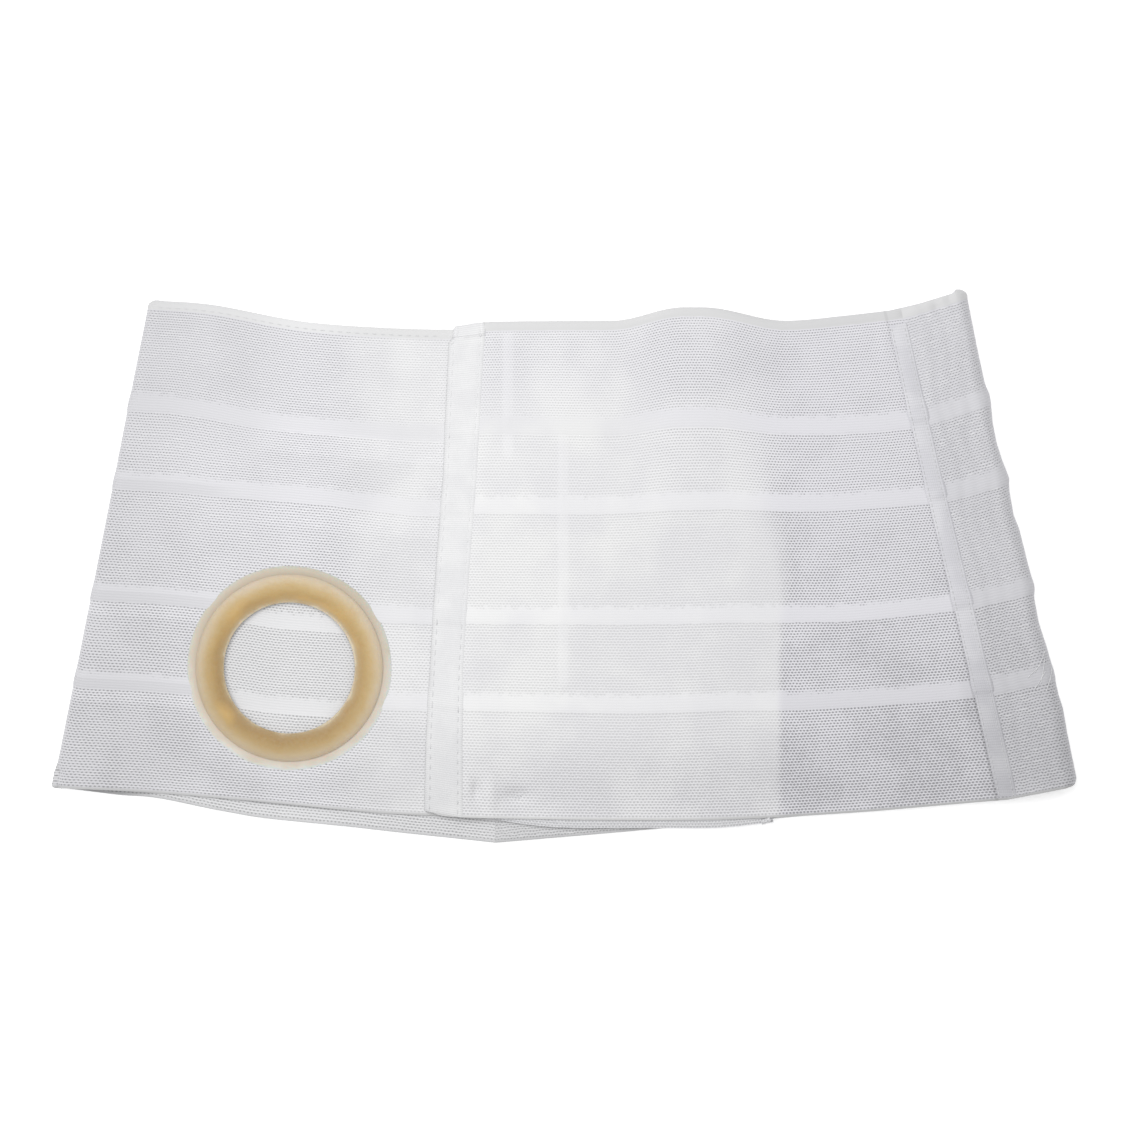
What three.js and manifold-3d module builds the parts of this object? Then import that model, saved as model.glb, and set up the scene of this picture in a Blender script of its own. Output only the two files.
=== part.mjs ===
// Ostomy support belt, fastened into a loop and laid flat with the stoma ring upwards.
// Millimetres. +Z is up and the belt lies on Z = 0. +Y points to its narrow upper edge.
import * as THREE from 'three';
import { mergeVertices } from 'three/addons/utils/BufferGeometryUtils.js';
import Module from 'manifold-3d';

// Driving dimensions.
const BELT_HEIGHT = 228.6;
const WALL = 1.2;
const BAND_WIDTH = 8.5;
const BAND_RAISE = 0.5;
const HEM_HEIGHT = 5.6;
const HEM_INSIDE = 0.5;
const EDGE_RAMP = 0.7;
const GAP = 0.3;
const LEFT_FOLD_RADIUS = 4.75;
const FOLD_PULL = 0.9;
const BINDING_WALL = 0.8;
const STRIP_WALL = 1.0;
const TAPE_WALL = 0.8;
const HOLE_RADIUS = 36;
const RING_INNER_RADIUS = 30.35;
const RING_OUTER_RADIUS = 43.3;
const RING_RAISE = 4.4;
const FLANGE_RADIUS = 47.3;
const FLANGE_WALL = 0.8;
const RING_X = -127.9;
const RING_Y = -47.7;

// Steps of the smooth surfaces.
const SPAN_STEPS = 3;
const FOLD_STEPS = 8;
const RING_STEPS = 56;

// Heights of the middle of each layer, stacked from the floor.
const OUTSIDE = WALL / 2 + BAND_RAISE;
const INSIDE = WALL / 2 + HEM_INSIDE;
const BACK_LEVEL = OUTSIDE;
const LEFT_LEVEL = BACK_LEVEL + 2 * LEFT_FOLD_RADIUS;
const RIGHT_LEVEL = LEFT_LEVEL + OUTSIDE + GAP + BINDING_WALL + GAP + INSIDE;
const RIGHT_FOLD_RADIUS = (RIGHT_LEVEL - BACK_LEVEL) / 2;

// Smooth bands in the mesh, by the height of their middle above the lower edge.
const BANDS = [
  { name: 'low band', middle: 51.5 },
  { name: 'second band', middle: 92.5 },
  { name: 'third band', middle: 147.5 },
  { name: 'high band', middle: 183 },
];

// Sections across the belt, each a line from the lower edge to the upper edge.
const LEFT_FRONT = [
  { name: 'flap seam', lowX: -37.7, lowY: -116.9, topX: -37.7, topY: 108.3 },
  { name: 'ring right', lowX: -83.6, lowY: -115.3, topX: -74.3, topY: 109.5 },
  { name: 'ring middle', lowX: -136.8, lowY: -110.2, topX: -120.6, topY: 112.7 },
  { name: 'ring left', lowX: -192.4, lowY: -105.6, topX: -162.3, topY: 120.4 },
];
const LEFT_FOLD = { name: 'left fold', lowX: -236.4, lowY: -102.3, topX: -193.3, topY: 122.2 };
const LEFT_BACK = [
  { name: 'behind ring left', lowX: -187.7, lowY: -107.6, topX: -157.7, topY: 117.1 },
  { name: 'behind ring', lowX: -127.6, lowY: -118.5, topX: -111.4, topY: 108.3 },
  { name: 'centre back', lowX: -32.8, lowY: -127.6, topX: -32.8, topY: 101.1 },
];
const RIGHT_BACK = [
  { name: 'centre back', lowX: -32.4, lowY: -127.6, topX: -32.4, topY: 101.1 },
  { name: 'behind closure', lowX: 34.5, lowY: -122.2, topX: 34.5, topY: 105.6 },
  { name: 'behind hump', lowX: 131.7, lowY: -113.9, topX: 115.5, topY: 112.0 },
  { name: 'behind seam', lowX: 196.5, lowY: -107.4, topX: 157.2, topY: 119.9 },
];
const RIGHT_FOLD = { name: 'right fold', lowX: 236.4, lowY: -101.4, topX: 185.2, topY: 127.36 };
const RIGHT_SIDE = [
  { name: 'seam edge', lowX: 205.1, lowY: -107.8, topX: 155.5, topY: 118.6 },
];
const RIGHT_FRONT = [
  { name: 'seam edge', lowX: 204.7, lowY: -107.9, topX: 155.1, topY: 118.5 },
  { name: 'beside seam', lowX: 166.4, lowY: -111.6, topX: 128.0, topY: 115.3 },
  { name: 'dip', lowX: 131.7, lowY: -114.6, topX: 101.6, topY: 113.0 },
  { name: 'hump', lowX: 78.5, lowY: -117.6, topX: 57.6, topY: 113.0 },
  { name: 'smooth', lowX: 25.2, lowY: -118.3, topX: 16.0, topY: 113.0 },
  { name: 'strip side', lowX: -47.5, lowY: -117.1, topX: -36.3, topY: 112.5 },
  { name: 'bound end', lowX: -64.2, lowY: -114.5, topX: -52.9, topY: 109.5 },
];
const FLAP = [
  { name: 'free end', lowX: 97.5, lowY: -117.4, topX: 95.6, topY: 108.3 },
  { name: 'middle', lowX: 34.5, lowY: -121.1, topX: 27.5, topY: 108.3 },
  { name: 'root', lowX: -37.3, lowY: -123.4, topX: -37.3, topY: 108.3 },
];

// The upper edge of the right panel bulges up and out over the wearer's front.
const HUMP = { middleX: 59, halfWidth: 37, rise: 6.2, lift: 3, fadesBelow: 0.55 };

// Straight pieces sewn on the panels: corner points of their left and right sides.
const STRIP = [
  { name: 'low end', leftX: -65.5, leftY: -114.1, rightX: -47.5, rightY: -117.1 },
  { name: 'top end', leftX: -54.2, leftY: 109.3, rightX: -36.3, rightY: 112.5 },
];
const TAPE = [
  { name: 'low end', leftX: 200.2, leftY: -107.4, rightX: 209.5, rightY: -107.0 },
  { name: 'top end', leftX: 152.1, leftY: 111.1, rightX: 158.1, rightY: 112.5 },
];
const PATCH = [
  { name: 'low left', x: -43.7, y: -57.9 },
  { name: 'low right', x: -0.2, y: -57.9 },
  { name: 'step out', x: -0.2, y: 62.5 },
  { name: 'step in', x: -25.7, y: 62.5 },
  { name: 'top right', x: -25.7, y: 101.9 },
  { name: 'top left', x: -35.2, y: 101.9 },
];

const wasm = await Module();
wasm.setup();

// Rows up a woven panel: its share of the height, and how far it stands out and in of the plain wall.
function wovenRows() {
  const rows = [{ share: 0, out: 0, in: 0, pull: 0 }];
  let below = 0;
  for (const band of BANDS) {
    const low = band.middle - BAND_WIDTH / 2;
    const high = band.middle + BAND_WIDTH / 2;
    rows.push({ share: (below + low) / 2 / BELT_HEIGHT, out: 0, in: 0, pull: below > 0 ? 1 : 0 });
    rows.push({ share: low / BELT_HEIGHT, out: 0, in: 0, pull: 0 });
    rows.push({ share: (low + EDGE_RAMP) / BELT_HEIGHT, out: BAND_RAISE, in: 0, pull: 0 });
    rows.push({ share: (high - EDGE_RAMP) / BELT_HEIGHT, out: BAND_RAISE, in: 0, pull: 0 });
    rows.push({ share: high / BELT_HEIGHT, out: 0, in: 0, pull: 0 });
    below = high;
  }
  const hem = BELT_HEIGHT - HEM_HEIGHT;
  rows.push({ share: (below + hem) / 2 / BELT_HEIGHT, out: 0, in: 0, pull: 0.4 });
  rows.push({ share: hem / BELT_HEIGHT, out: 0, in: 0, pull: 0 });
  rows.push({ share: (hem + EDGE_RAMP) / BELT_HEIGHT, out: BAND_RAISE, in: HEM_INSIDE, pull: 0 });
  rows.push({ share: 1, out: BAND_RAISE, in: HEM_INSIDE, pull: 0 });
  return rows;
}

const WOVEN = wovenRows();
const PLAIN = [
  { share: 0, out: 0, in: 0, pull: 0 },
  { share: 1, out: 0, in: 0, pull: 0 },
];

const lowPoint = (row, level) => new THREE.Vector3(row.lowX, row.lowY, level);
const topPoint = (row, level) => new THREE.Vector3(row.topX, row.topY, level);

// Smooth run of sections through the rows of a table, all at one level.
function run(rows, level) {
  const low = new THREE.CatmullRomCurve3(rows.map((row) => lowPoint(row, level)), false, 'catmullrom', 0.5);
  const top = new THREE.CatmullRomCurve3(rows.map((row) => topPoint(row, level)), false, 'catmullrom', 0.5);
  const steps = (rows.length - 1) * SPAN_STEPS;
  return Array.from({ length: steps + 1 }, (_, i) => ({
    low: low.getPoint(i / steps),
    top: top.getPoint(i / steps),
    fold: 0,
  }));
}

// Row of the table where a fold of this radius meets the flat run that comes from a neighbouring row.
function foldEnd(fold, neighbour, radius) {
  const low = lowPoint(neighbour, 0).sub(lowPoint(fold, 0)).setLength(radius).add(lowPoint(fold, 0));
  const top = topPoint(neighbour, 0).sub(topPoint(fold, 0)).setLength(radius).add(topPoint(fold, 0));
  return { name: 'fold end', lowX: low.x, lowY: low.y, topX: top.x, topY: top.y };
}

// Half round of sections at a fold, between the runs on either side of it.
function bend(from, to, fromLevel, toLevel, fold, radius) {
  const middle = (fromLevel + toLevel) / 2;
  const sections = [];
  for (let step = 1; step < FOLD_STEPS; step += 1) {
    const angle = (Math.PI * step) / FOLD_STEPS;
    const near = angle < Math.PI / 2 ? from : to;
    const inward = 1 - Math.sin(angle);
    const level = middle + Math.cos(angle) * radius * Math.sign(fromLevel - toLevel);
    sections.push({
      low: lowPoint(fold, level).lerp(lowPoint(near, level), inward),
      top: topPoint(fold, level).lerp(topPoint(near, level), inward),
      fold: Math.sin(angle),
    });
  }
  return sections;
}

// Point of a section at a share of its height, with the hump of the upper edge where it has one.
function sectionPoint(section, share, hump) {
  const point = section.low.clone().lerp(section.top, share);
  if (hump) {
    const across = THREE.MathUtils.clamp((section.top.x - hump.middleX) / hump.halfWidth, -1, 1);
    const amount = Math.cos((across * Math.PI) / 2) ** 2 * THREE.MathUtils.smoothstep(share, hump.fadesBelow, 1);
    point.y += hump.rise * amount;
    point.z += hump.lift * amount;
  }
  return point;
}

// Closed wall of cloth through a row of sections. Outside lies on the upper side of a leftward run.
function clothWall(sections, rows, hump) {
  const columns = sections.length;
  const count = rows.length;
  const middle = sections.map((section) => rows.map((row) => sectionPoint(section, row.share, hump)));
  const positions = [];
  for (const side of [1, -1]) {
    for (let i = 0; i < columns; i += 1) {
      for (let j = 0; j < count; j += 1) {
        const along = middle[Math.min(i + 1, columns - 1)][j].clone().sub(middle[Math.max(i - 1, 0)][j]);
        const up = middle[i][Math.min(j + 1, count - 1)].clone().sub(middle[i][Math.max(j - 1, 0)]);
        const normal = up.cross(along).normalize();
        const offset = side > 0 ? WALL / 2 + rows[j].out : -WALL / 2 - rows[j].in;
        const pulled = offset - FOLD_PULL * rows[j].pull * sections[i].fold;
        const point = middle[i][j].clone().addScaledVector(normal, pulled);
        positions.push(point.x, point.y, point.z);
      }
    }
  }
  const outer = (i, j) => i * count + j;
  const inner = (i, j) => columns * count + i * count + j;
  const index = [];
  for (let i = 0; i < columns - 1; i += 1) {
    for (let j = 0; j < count - 1; j += 1) {
      index.push(outer(i, j), outer(i, j + 1), outer(i + 1, j + 1));
      index.push(outer(i, j), outer(i + 1, j + 1), outer(i + 1, j));
      index.push(inner(i, j), inner(i + 1, j + 1), inner(i, j + 1));
      index.push(inner(i, j), inner(i + 1, j), inner(i + 1, j + 1));
    }
  }
  const rim = [];
  for (let j = 0; j < count - 1; j += 1) rim.push([0, j]);
  for (let i = 0; i < columns - 1; i += 1) rim.push([i, count - 1]);
  for (let j = count - 1; j > 0; j -= 1) rim.push([columns - 1, j]);
  for (let i = columns - 1; i > 0; i -= 1) rim.push([i, 0]);
  rim.forEach(([i, j], place) => {
    const [k, l] = rim[(place + 1) % rim.length];
    index.push(outer(k, l), outer(i, j), inner(i, j));
    index.push(outer(k, l), inner(i, j), inner(k, l));
  });
  const geometry = new THREE.BufferGeometry();
  geometry.setAttribute('position', new THREE.Float32BufferAttribute(positions, 3));
  geometry.setIndex(index);
  return geometry;
}

// Straight piece between two ends, with the same outline across and up at both.
function sewnPiece(ends, outline, level) {
  const loop = outline.map((corner) => new THREE.Vector2(corner.across, corner.up));
  const positions = [];
  for (const end of ends) {
    for (const corner of outline) {
      positions.push(
        THREE.MathUtils.lerp(end.leftX, end.rightX, corner.across),
        THREE.MathUtils.lerp(end.leftY, end.rightY, corner.across),
        level + corner.up,
      );
    }
  }
  const count = loop.length;
  const index = [];
  for (let k = 0; k < count; k += 1) {
    const next = (k + 1) % count;
    index.push(k, count + next, next);
    index.push(k, count + k, count + next);
  }
  for (const [a, b, c] of THREE.ShapeUtils.triangulateShape(loop, [])) {
    index.push(a, b, c);
    index.push(count + a, count + c, count + b);
  }
  const geometry = new THREE.BufferGeometry();
  geometry.setAttribute('position', new THREE.Float32BufferAttribute(positions, 3));
  geometry.setIndex(index);
  return geometry;
}

// Round piece about the ring's axis, from a closed outline of radius and height.
function roundPiece(outline, level) {
  const points = [...outline, outline[0]].map((corner) => new THREE.Vector2(corner.radius, corner.up));
  const geometry = new THREE.LatheGeometry(points, RING_STEPS);
  geometry.rotateX(Math.PI / 2);
  geometry.translate(RING_X, RING_Y, level);
  return geometry;
}

function toSolid(geometry) {
  const bare = geometry.clone();
  bare.deleteAttribute('normal');
  bare.deleteAttribute('uv');
  const merged = mergeVertices(bare, 1e-4);
  return new wasm.Manifold(new wasm.Mesh({
    numProp: 3,
    vertProperties: new Float32Array(merged.attributes.position.array),
    triVerts: new Uint32Array(merged.index.array),
  }));
}

function fromSolid(solid) {
  const mesh = solid.getMesh();
  const geometry = new THREE.BufferGeometry();
  geometry.setAttribute('position', new THREE.Float32BufferAttribute(mesh.vertProperties, 3));
  geometry.setIndex(Array.from(mesh.triVerts));
  return geometry;
}

// Left panel: from the flap seam, round the left fold, to the centre back.
const leftFrontEnd = foldEnd(LEFT_FOLD, LEFT_FRONT[LEFT_FRONT.length - 1], LEFT_FOLD_RADIUS);
const leftBackEnd = foldEnd(LEFT_FOLD, LEFT_BACK[0], LEFT_FOLD_RADIUS);
const leftWall = clothWall([
  ...run([...LEFT_FRONT, leftFrontEnd], LEFT_LEVEL),
  ...bend(leftFrontEnd, leftBackEnd, LEFT_LEVEL, BACK_LEVEL, LEFT_FOLD, LEFT_FOLD_RADIUS),
  ...run([leftBackEnd, ...LEFT_BACK], BACK_LEVEL),
].map((section) => ({ ...section, fold: 0 })), WOVEN);
const punch = new THREE.CylinderGeometry(HOLE_RADIUS, HOLE_RADIUS, 2 * LEFT_FOLD_RADIUS, RING_STEPS);
punch.rotateX(Math.PI / 2);
punch.translate(RING_X, RING_Y, LEFT_LEVEL);
const leftPanel = fromSolid(toSolid(leftWall).subtract(toSolid(punch)));

// Back panel: from the centre back, round the right fold, to the side seam.
const rightBackEnd = foldEnd(RIGHT_FOLD, RIGHT_BACK[RIGHT_BACK.length - 1], RIGHT_FOLD_RADIUS);
const rightFrontEnd = foldEnd(RIGHT_FOLD, RIGHT_SIDE[0], RIGHT_FOLD_RADIUS);
const backPanel = clothWall([
  ...run([...RIGHT_BACK, rightBackEnd], BACK_LEVEL),
  ...bend(rightBackEnd, rightFrontEnd, BACK_LEVEL, RIGHT_LEVEL, RIGHT_FOLD, RIGHT_FOLD_RADIUS),
  ...run([rightFrontEnd, ...RIGHT_SIDE], RIGHT_LEVEL),
], WOVEN);

// Right panel and the flap under it.
const rightPanel = clothWall(run(RIGHT_FRONT, RIGHT_LEVEL), WOVEN, HUMP);
const closureFlap = clothWall(run(FLAP, LEFT_LEVEL), PLAIN);

// Hook patch, as thick as the room between the flap and the right panel.
const patchFloor = LEFT_LEVEL + OUTSIDE + GAP;
const patchOutline = new THREE.Shape(PATCH.map((corner) => new THREE.Vector2(corner.x, corner.y)));
const hookPatch = new THREE.ExtrudeGeometry(patchOutline, {
  depth: RIGHT_LEVEL - WALL / 2 - GAP - patchFloor,
  bevelEnabled: false,
});
hookPatch.translate(0, 0, patchFloor);

// Binding folded round the end of the right panel.
const bindOver = OUTSIDE + GAP;
const bindUnder = INSIDE + GAP;
const closureStrip = sewnPiece(STRIP, [
  { across: 0.03, up: -bindUnder - BINDING_WALL },
  { across: 1, up: -bindUnder - BINDING_WALL },
  { across: 1, up: -bindUnder },
  { across: 0.05, up: -bindUnder },
  { across: 0.05, up: bindOver },
  { across: 1, up: bindOver },
  { across: 1, up: bindOver + STRIP_WALL },
  { across: 0.03, up: bindOver + STRIP_WALL },
  { across: 0, up: bindOver + STRIP_WALL / 2 },
  { across: 0, up: -bindUnder - BINDING_WALL / 2 },
], RIGHT_LEVEL);

// Tape over the side seam.
const sideSeamTape = sewnPiece(TAPE, [
  { across: 0, up: bindOver },
  { across: 1, up: bindOver },
  { across: 1, up: bindOver + TAPE_WALL / 2 },
  { across: 0.9, up: bindOver + TAPE_WALL },
  { across: 0.1, up: bindOver + TAPE_WALL },
  { across: 0, up: bindOver + TAPE_WALL / 2 },
], RIGHT_LEVEL);

// Moulded ring: it sits on the cloth and its collar drops through the hole.
const collarRadius = HOLE_RADIUS - GAP - 0.1;
const stomaRing = roundPiece([
  { radius: RING_INNER_RADIUS + 0.7, up: -WALL / 2 },
  { radius: collarRadius, up: -WALL / 2 },
  { radius: collarRadius, up: OUTSIDE + GAP },
  { radius: RING_OUTER_RADIUS, up: OUTSIDE + GAP },
  { radius: RING_OUTER_RADIUS, up: RING_RAISE - 1.8 },
  { radius: RING_OUTER_RADIUS - 0.9, up: RING_RAISE - 0.7 },
  { radius: RING_OUTER_RADIUS - 2.8, up: RING_RAISE - 0.1 },
  { radius: RING_INNER_RADIUS + 6.2, up: RING_RAISE },
  { radius: RING_INNER_RADIUS + 2.7, up: RING_RAISE - 0.5 },
  { radius: RING_INNER_RADIUS + 0.9, up: RING_RAISE - 1.5 },
  { radius: RING_INNER_RADIUS, up: RING_RAISE - 3 },
  { radius: RING_INNER_RADIUS, up: 0.4 },
], LEFT_LEVEL);

// Thin rim round the ring.
const ringFlange = roundPiece([
  { radius: RING_OUTER_RADIUS + GAP, up: OUTSIDE + GAP },
  { radius: FLANGE_RADIUS, up: OUTSIDE + GAP },
  { radius: FLANGE_RADIUS, up: OUTSIDE + GAP + FLANGE_WALL / 2 },
  { radius: FLANGE_RADIUS - 0.8, up: OUTSIDE + GAP + FLANGE_WALL },
  { radius: RING_OUTER_RADIUS + GAP, up: OUTSIDE + GAP + FLANGE_WALL },
], LEFT_LEVEL);

const PIECES = [
  { name: 'left_panel', geometry: leftPanel, colour: 0xeeeef1, roughness: 0.9 },
  { name: 'back_panel', geometry: backPanel, colour: 0xe9e9ed, roughness: 0.9 },
  { name: 'right_panel', geometry: rightPanel, colour: 0xeeeef1, roughness: 0.9 },
  { name: 'closure_flap', geometry: closureFlap, colour: 0xf2f1ec, roughness: 0.95 },
  { name: 'hook_patch', geometry: hookPatch, colour: 0xf4f4f4, roughness: 0.6 },
  { name: 'closure_strip', geometry: closureStrip, colour: 0xf3f3f4, roughness: 0.85 },
  { name: 'side_seam_tape', geometry: sideSeamTape, colour: 0xeaeaee, roughness: 0.85 },
  { name: 'stoma_ring', geometry: stomaRing, colour: 0xc8a468, roughness: 0.35 },
  { name: 'ring_flange', geometry: ringFlange, colour: 0xd8cab2, roughness: 0.45 },
];

const belt = new THREE.Group();
for (const piece of PIECES) {
  const material = new THREE.MeshStandardMaterial({
    color: piece.colour,
    roughness: piece.roughness,
    metalness: 0,
  });
  const mesh = new THREE.Mesh(piece.geometry, material);
  mesh.name = piece.name;
  belt.add(mesh);
}

export default belt;
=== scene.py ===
# %% [markdown]
# # An ostomy support belt, laid flat
# A wide belt of open mesh elastic is fastened into a loop and laid on a table, so it lies as a
# flattened tube. A soft tan ring is set in its front. The lesson dresses a frame of plain solids with
# cloth, tapes, stitches and soft plastic, one piece at a time.

import math
from collections import namedtuple

import bpy
import numpy as np
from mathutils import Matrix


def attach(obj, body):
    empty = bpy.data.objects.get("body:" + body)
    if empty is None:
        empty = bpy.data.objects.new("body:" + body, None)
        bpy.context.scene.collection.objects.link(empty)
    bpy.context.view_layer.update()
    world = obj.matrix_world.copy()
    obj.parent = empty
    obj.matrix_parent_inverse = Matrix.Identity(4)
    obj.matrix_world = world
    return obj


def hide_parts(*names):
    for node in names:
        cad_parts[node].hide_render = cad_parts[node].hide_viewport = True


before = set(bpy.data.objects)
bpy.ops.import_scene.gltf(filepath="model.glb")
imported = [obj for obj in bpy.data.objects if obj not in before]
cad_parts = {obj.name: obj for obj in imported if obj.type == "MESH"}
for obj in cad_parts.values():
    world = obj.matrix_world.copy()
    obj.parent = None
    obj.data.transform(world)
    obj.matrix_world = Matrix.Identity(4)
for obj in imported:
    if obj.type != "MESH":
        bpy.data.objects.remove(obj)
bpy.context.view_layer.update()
bpy.ops.object.select_all(action="DESELECT")
print("solids:", sorted(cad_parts))

# %% [markdown]
# ## Camera
# The photograph looks straight down, and its ring is as wide as it is high. A camera with no turn looks
# down and keeps +Y at the top of the picture, so only its place and its lens have to be found. A long
# lens from far away keeps the layers from sliding over each other.

# %% Camera
PICTURE_WIDTH = 0.5204
CAMERA_HEIGHT = 3.0
FRONT_HEIGHT = 0.013
SENSOR = 36.0

bpy.ops.object.camera_add(location=(-0.0016, 0.0014, CAMERA_HEIGHT), rotation=(0, 0, 0))
camera = bpy.context.object
camera.name = "camera"
camera.data.sensor_width = SENSOR
camera.data.lens = SENSOR * (CAMERA_HEIGHT - FRONT_HEIGHT) / PICTURE_WIDTH
bpy.context.scene.camera = camera
print("lens:", round(camera.data.lens, 1), "mm")

# %% [markdown]
# ## Where the cloth runs
# The belt is one strip of cloth that goes round: from the closure to the left fold, behind to the right
# fold, and forward again to the closure. It is described by a few sections, each a line from the lower
# edge to the upper edge, in millimetres. A smooth curve through the sections' ends gives both edges.

# %% Sections
MM = 0.001
BELT_HEIGHT = 228.6
WALL = 1.2
BAND_RAISE = 0.3
BACK_LEVEL = 1.1
LEFT_LEVEL = 10.6
RIGHT_LEVEL = 14.2
COLUMN_STEP = 1.8

Section = namedtuple("Section", "name low_x low_y top_x top_y")
LEFT_FRONT = [
    Section("flap seam", -37.7, -116.9, -37.7, 109.1),
    Section("ring right", -83.6, -115.3, -74.3, 109.5),
    Section("ring middle", -136.8, -110.2, -120.6, 112.7),
    Section("ring left", -192.4, -105.6, -162.3, 120.4),
]
LEFT_FOLD = Section("left fold", -237.4, -103.2, -192.5, 122.9)
LEFT_BACK = [
    Section("behind corner", -208.0, -106.8, -172.0, 119.5),
    Section("behind ring left", -187.7, -108.3, -157.7, 117.1),
    Section("behind ring edge", -157.0, -114.2, -134.1, 112.7),
    Section("behind ring", -127.6, -118.8, -111.4, 108.3),
    Section("centre back", -32.65, -129.0, -32.65, 101.1),
]
RIGHT_BACK = [
    Section("centre back", -32.55, -129.0, -32.55, 101.1),
    Section("behind closure", 34.5, -123.3, 34.5, 105.6),
    Section("behind hump", 131.7, -114.6, 115.5, 112.0),
    Section("behind seam", 196.5, -108.2, 157.2, 119.9),
]
RIGHT_FOLD = Section("right fold", 237.2, -102.3, 185.9, 127.9)
RIGHT_SIDE = [Section("seam edge", 204.9, -108.8, 155.3, 118.5)]
RIGHT_FRONT = [
    Section("seam edge", 204.9, -108.8, 155.3, 118.5),
    Section("beside seam", 166.4, -112.2, 128.0, 115.3),
    Section("dip", 131.7, -115.1, 101.6, 113.0),
    Section("hump", 78.5, -117.9, 57.6, 113.0),
    Section("smooth", 25.2, -118.3, 16.0, 113.0),
    Section("strip side", -47.5, -117.1, -36.3, 112.5),
    Section("bound end", -63.5, -114.6, -48.4, 110.3),
]
FLAP = [
    Section("free end", 96.5, -119.4, 95.6, 108.3),
    Section("near end", 70.0, -122.0, 64.0, 108.3),
    Section("middle", 34.5, -122.0, 27.5, 108.3),
    Section("beside strip", -6.0, -121.6, -10.0, 108.3),
    Section("root", -37.3, -117.6, -37.3, 108.3),
]


def ends(section, level):
    """The lower and upper end of a section, as one row of six numbers."""
    return np.array([section.low_x, section.low_y, level, section.top_x, section.top_y, level])


def smooth_run(sections, level):
    """Columns of cloth through the sections, about COLUMN_STEP apart."""
    knots = [ends(s, level) for s in sections]
    knots = [2 * knots[0] - knots[1], *knots, 2 * knots[-1] - knots[-2]]
    columns = []
    for before, start, stop, after in zip(knots, knots[1:], knots[2:], knots[3:]):
        steps = math.ceil(np.linalg.norm(stop[:3] - start[:3]) / COLUMN_STEP)
        for t in np.arange(steps) / steps:
            pull_in, pull_out = (stop - before) / 2, (after - start) / 2
            columns.append(
                (2 * t**3 - 3 * t**2 + 1) * start
                + (t**3 - 2 * t**2 + t) * pull_in
                + (3 * t**2 - 2 * t**3) * stop
                + (t**3 - t**2) * pull_out
            )
    return [*columns, knots[-2]]


def fold_end(fold, neighbour, radius):
    """The section where a fold of this radius meets the flat run from a neighbour."""
    here, there = ends(fold, 0), ends(neighbour, 0)
    for part in (slice(0, 3), slice(3, 6)):
        way = there[part] - here[part]
        here[part] += way / np.linalg.norm(way) * radius
    return Section("fold end", here[0], here[1], here[3], here[4])


def half_round(start, stop, start_level, stop_level, fold, steps=14):
    """Columns round a fold, between the flat runs on either side of it."""
    columns = []
    for angle in np.pi * np.arange(1, steps) / steps:
        level = (start_level + stop_level) / 2 + math.cos(angle) * (start_level - stop_level) / 2
        near = ends(start if angle < np.pi / 2 else stop, level)
        columns.append(ends(fold, level) + (near - ends(fold, level)) * (1 - math.sin(angle)))
    return columns


left_radius = (LEFT_LEVEL - BACK_LEVEL) / 2
left_front_end = fold_end(LEFT_FOLD, LEFT_FRONT[-1], left_radius)
left_back_end = fold_end(LEFT_FOLD, LEFT_BACK[0], left_radius)
left_columns = [
    *smooth_run([*LEFT_FRONT, left_front_end], LEFT_LEVEL),
    *half_round(left_front_end, left_back_end, LEFT_LEVEL, BACK_LEVEL, LEFT_FOLD),
    *smooth_run([left_back_end, *LEFT_BACK], BACK_LEVEL),
]
right_radius = (RIGHT_LEVEL - BACK_LEVEL) / 2
right_back_end = fold_end(RIGHT_FOLD, RIGHT_BACK[-1], right_radius)
right_front_end = fold_end(RIGHT_FOLD, RIGHT_SIDE[0], right_radius)
back_columns = [
    *smooth_run([*RIGHT_BACK, right_back_end], BACK_LEVEL),
    *half_round(right_back_end, right_front_end, BACK_LEVEL, RIGHT_LEVEL, RIGHT_FOLD),
    *smooth_run([right_front_end, *RIGHT_SIDE], RIGHT_LEVEL),
]
right_columns = smooth_run(RIGHT_FRONT, RIGHT_LEVEL)
flap_columns = smooth_run(FLAP, LEFT_LEVEL)
print("columns:", len(left_columns), len(back_columns), len(right_columns), len(flap_columns))

# %% [markdown]
# ## Rows up the cloth
# Four smooth bands and a folded hem are woven into the mesh. They stand a little out of it, with a
# lower edge that throws a fine shadow and an upper edge that runs out into the mesh. Each row of the cloth has its height, how far it
# stands out, and how it is woven, which the finish reads later: 0 is open mesh, 1 a smooth band and 2
# the folded hem.

# %% Rows
BANDS = [53.2, 93.2, 145.2, 180.5]
BAND_WIDTH = 8.5
HEM_HEIGHT = 4.4
ROW_STEP = 2.2

Row = namedtuple("Row", "height out close")


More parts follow.
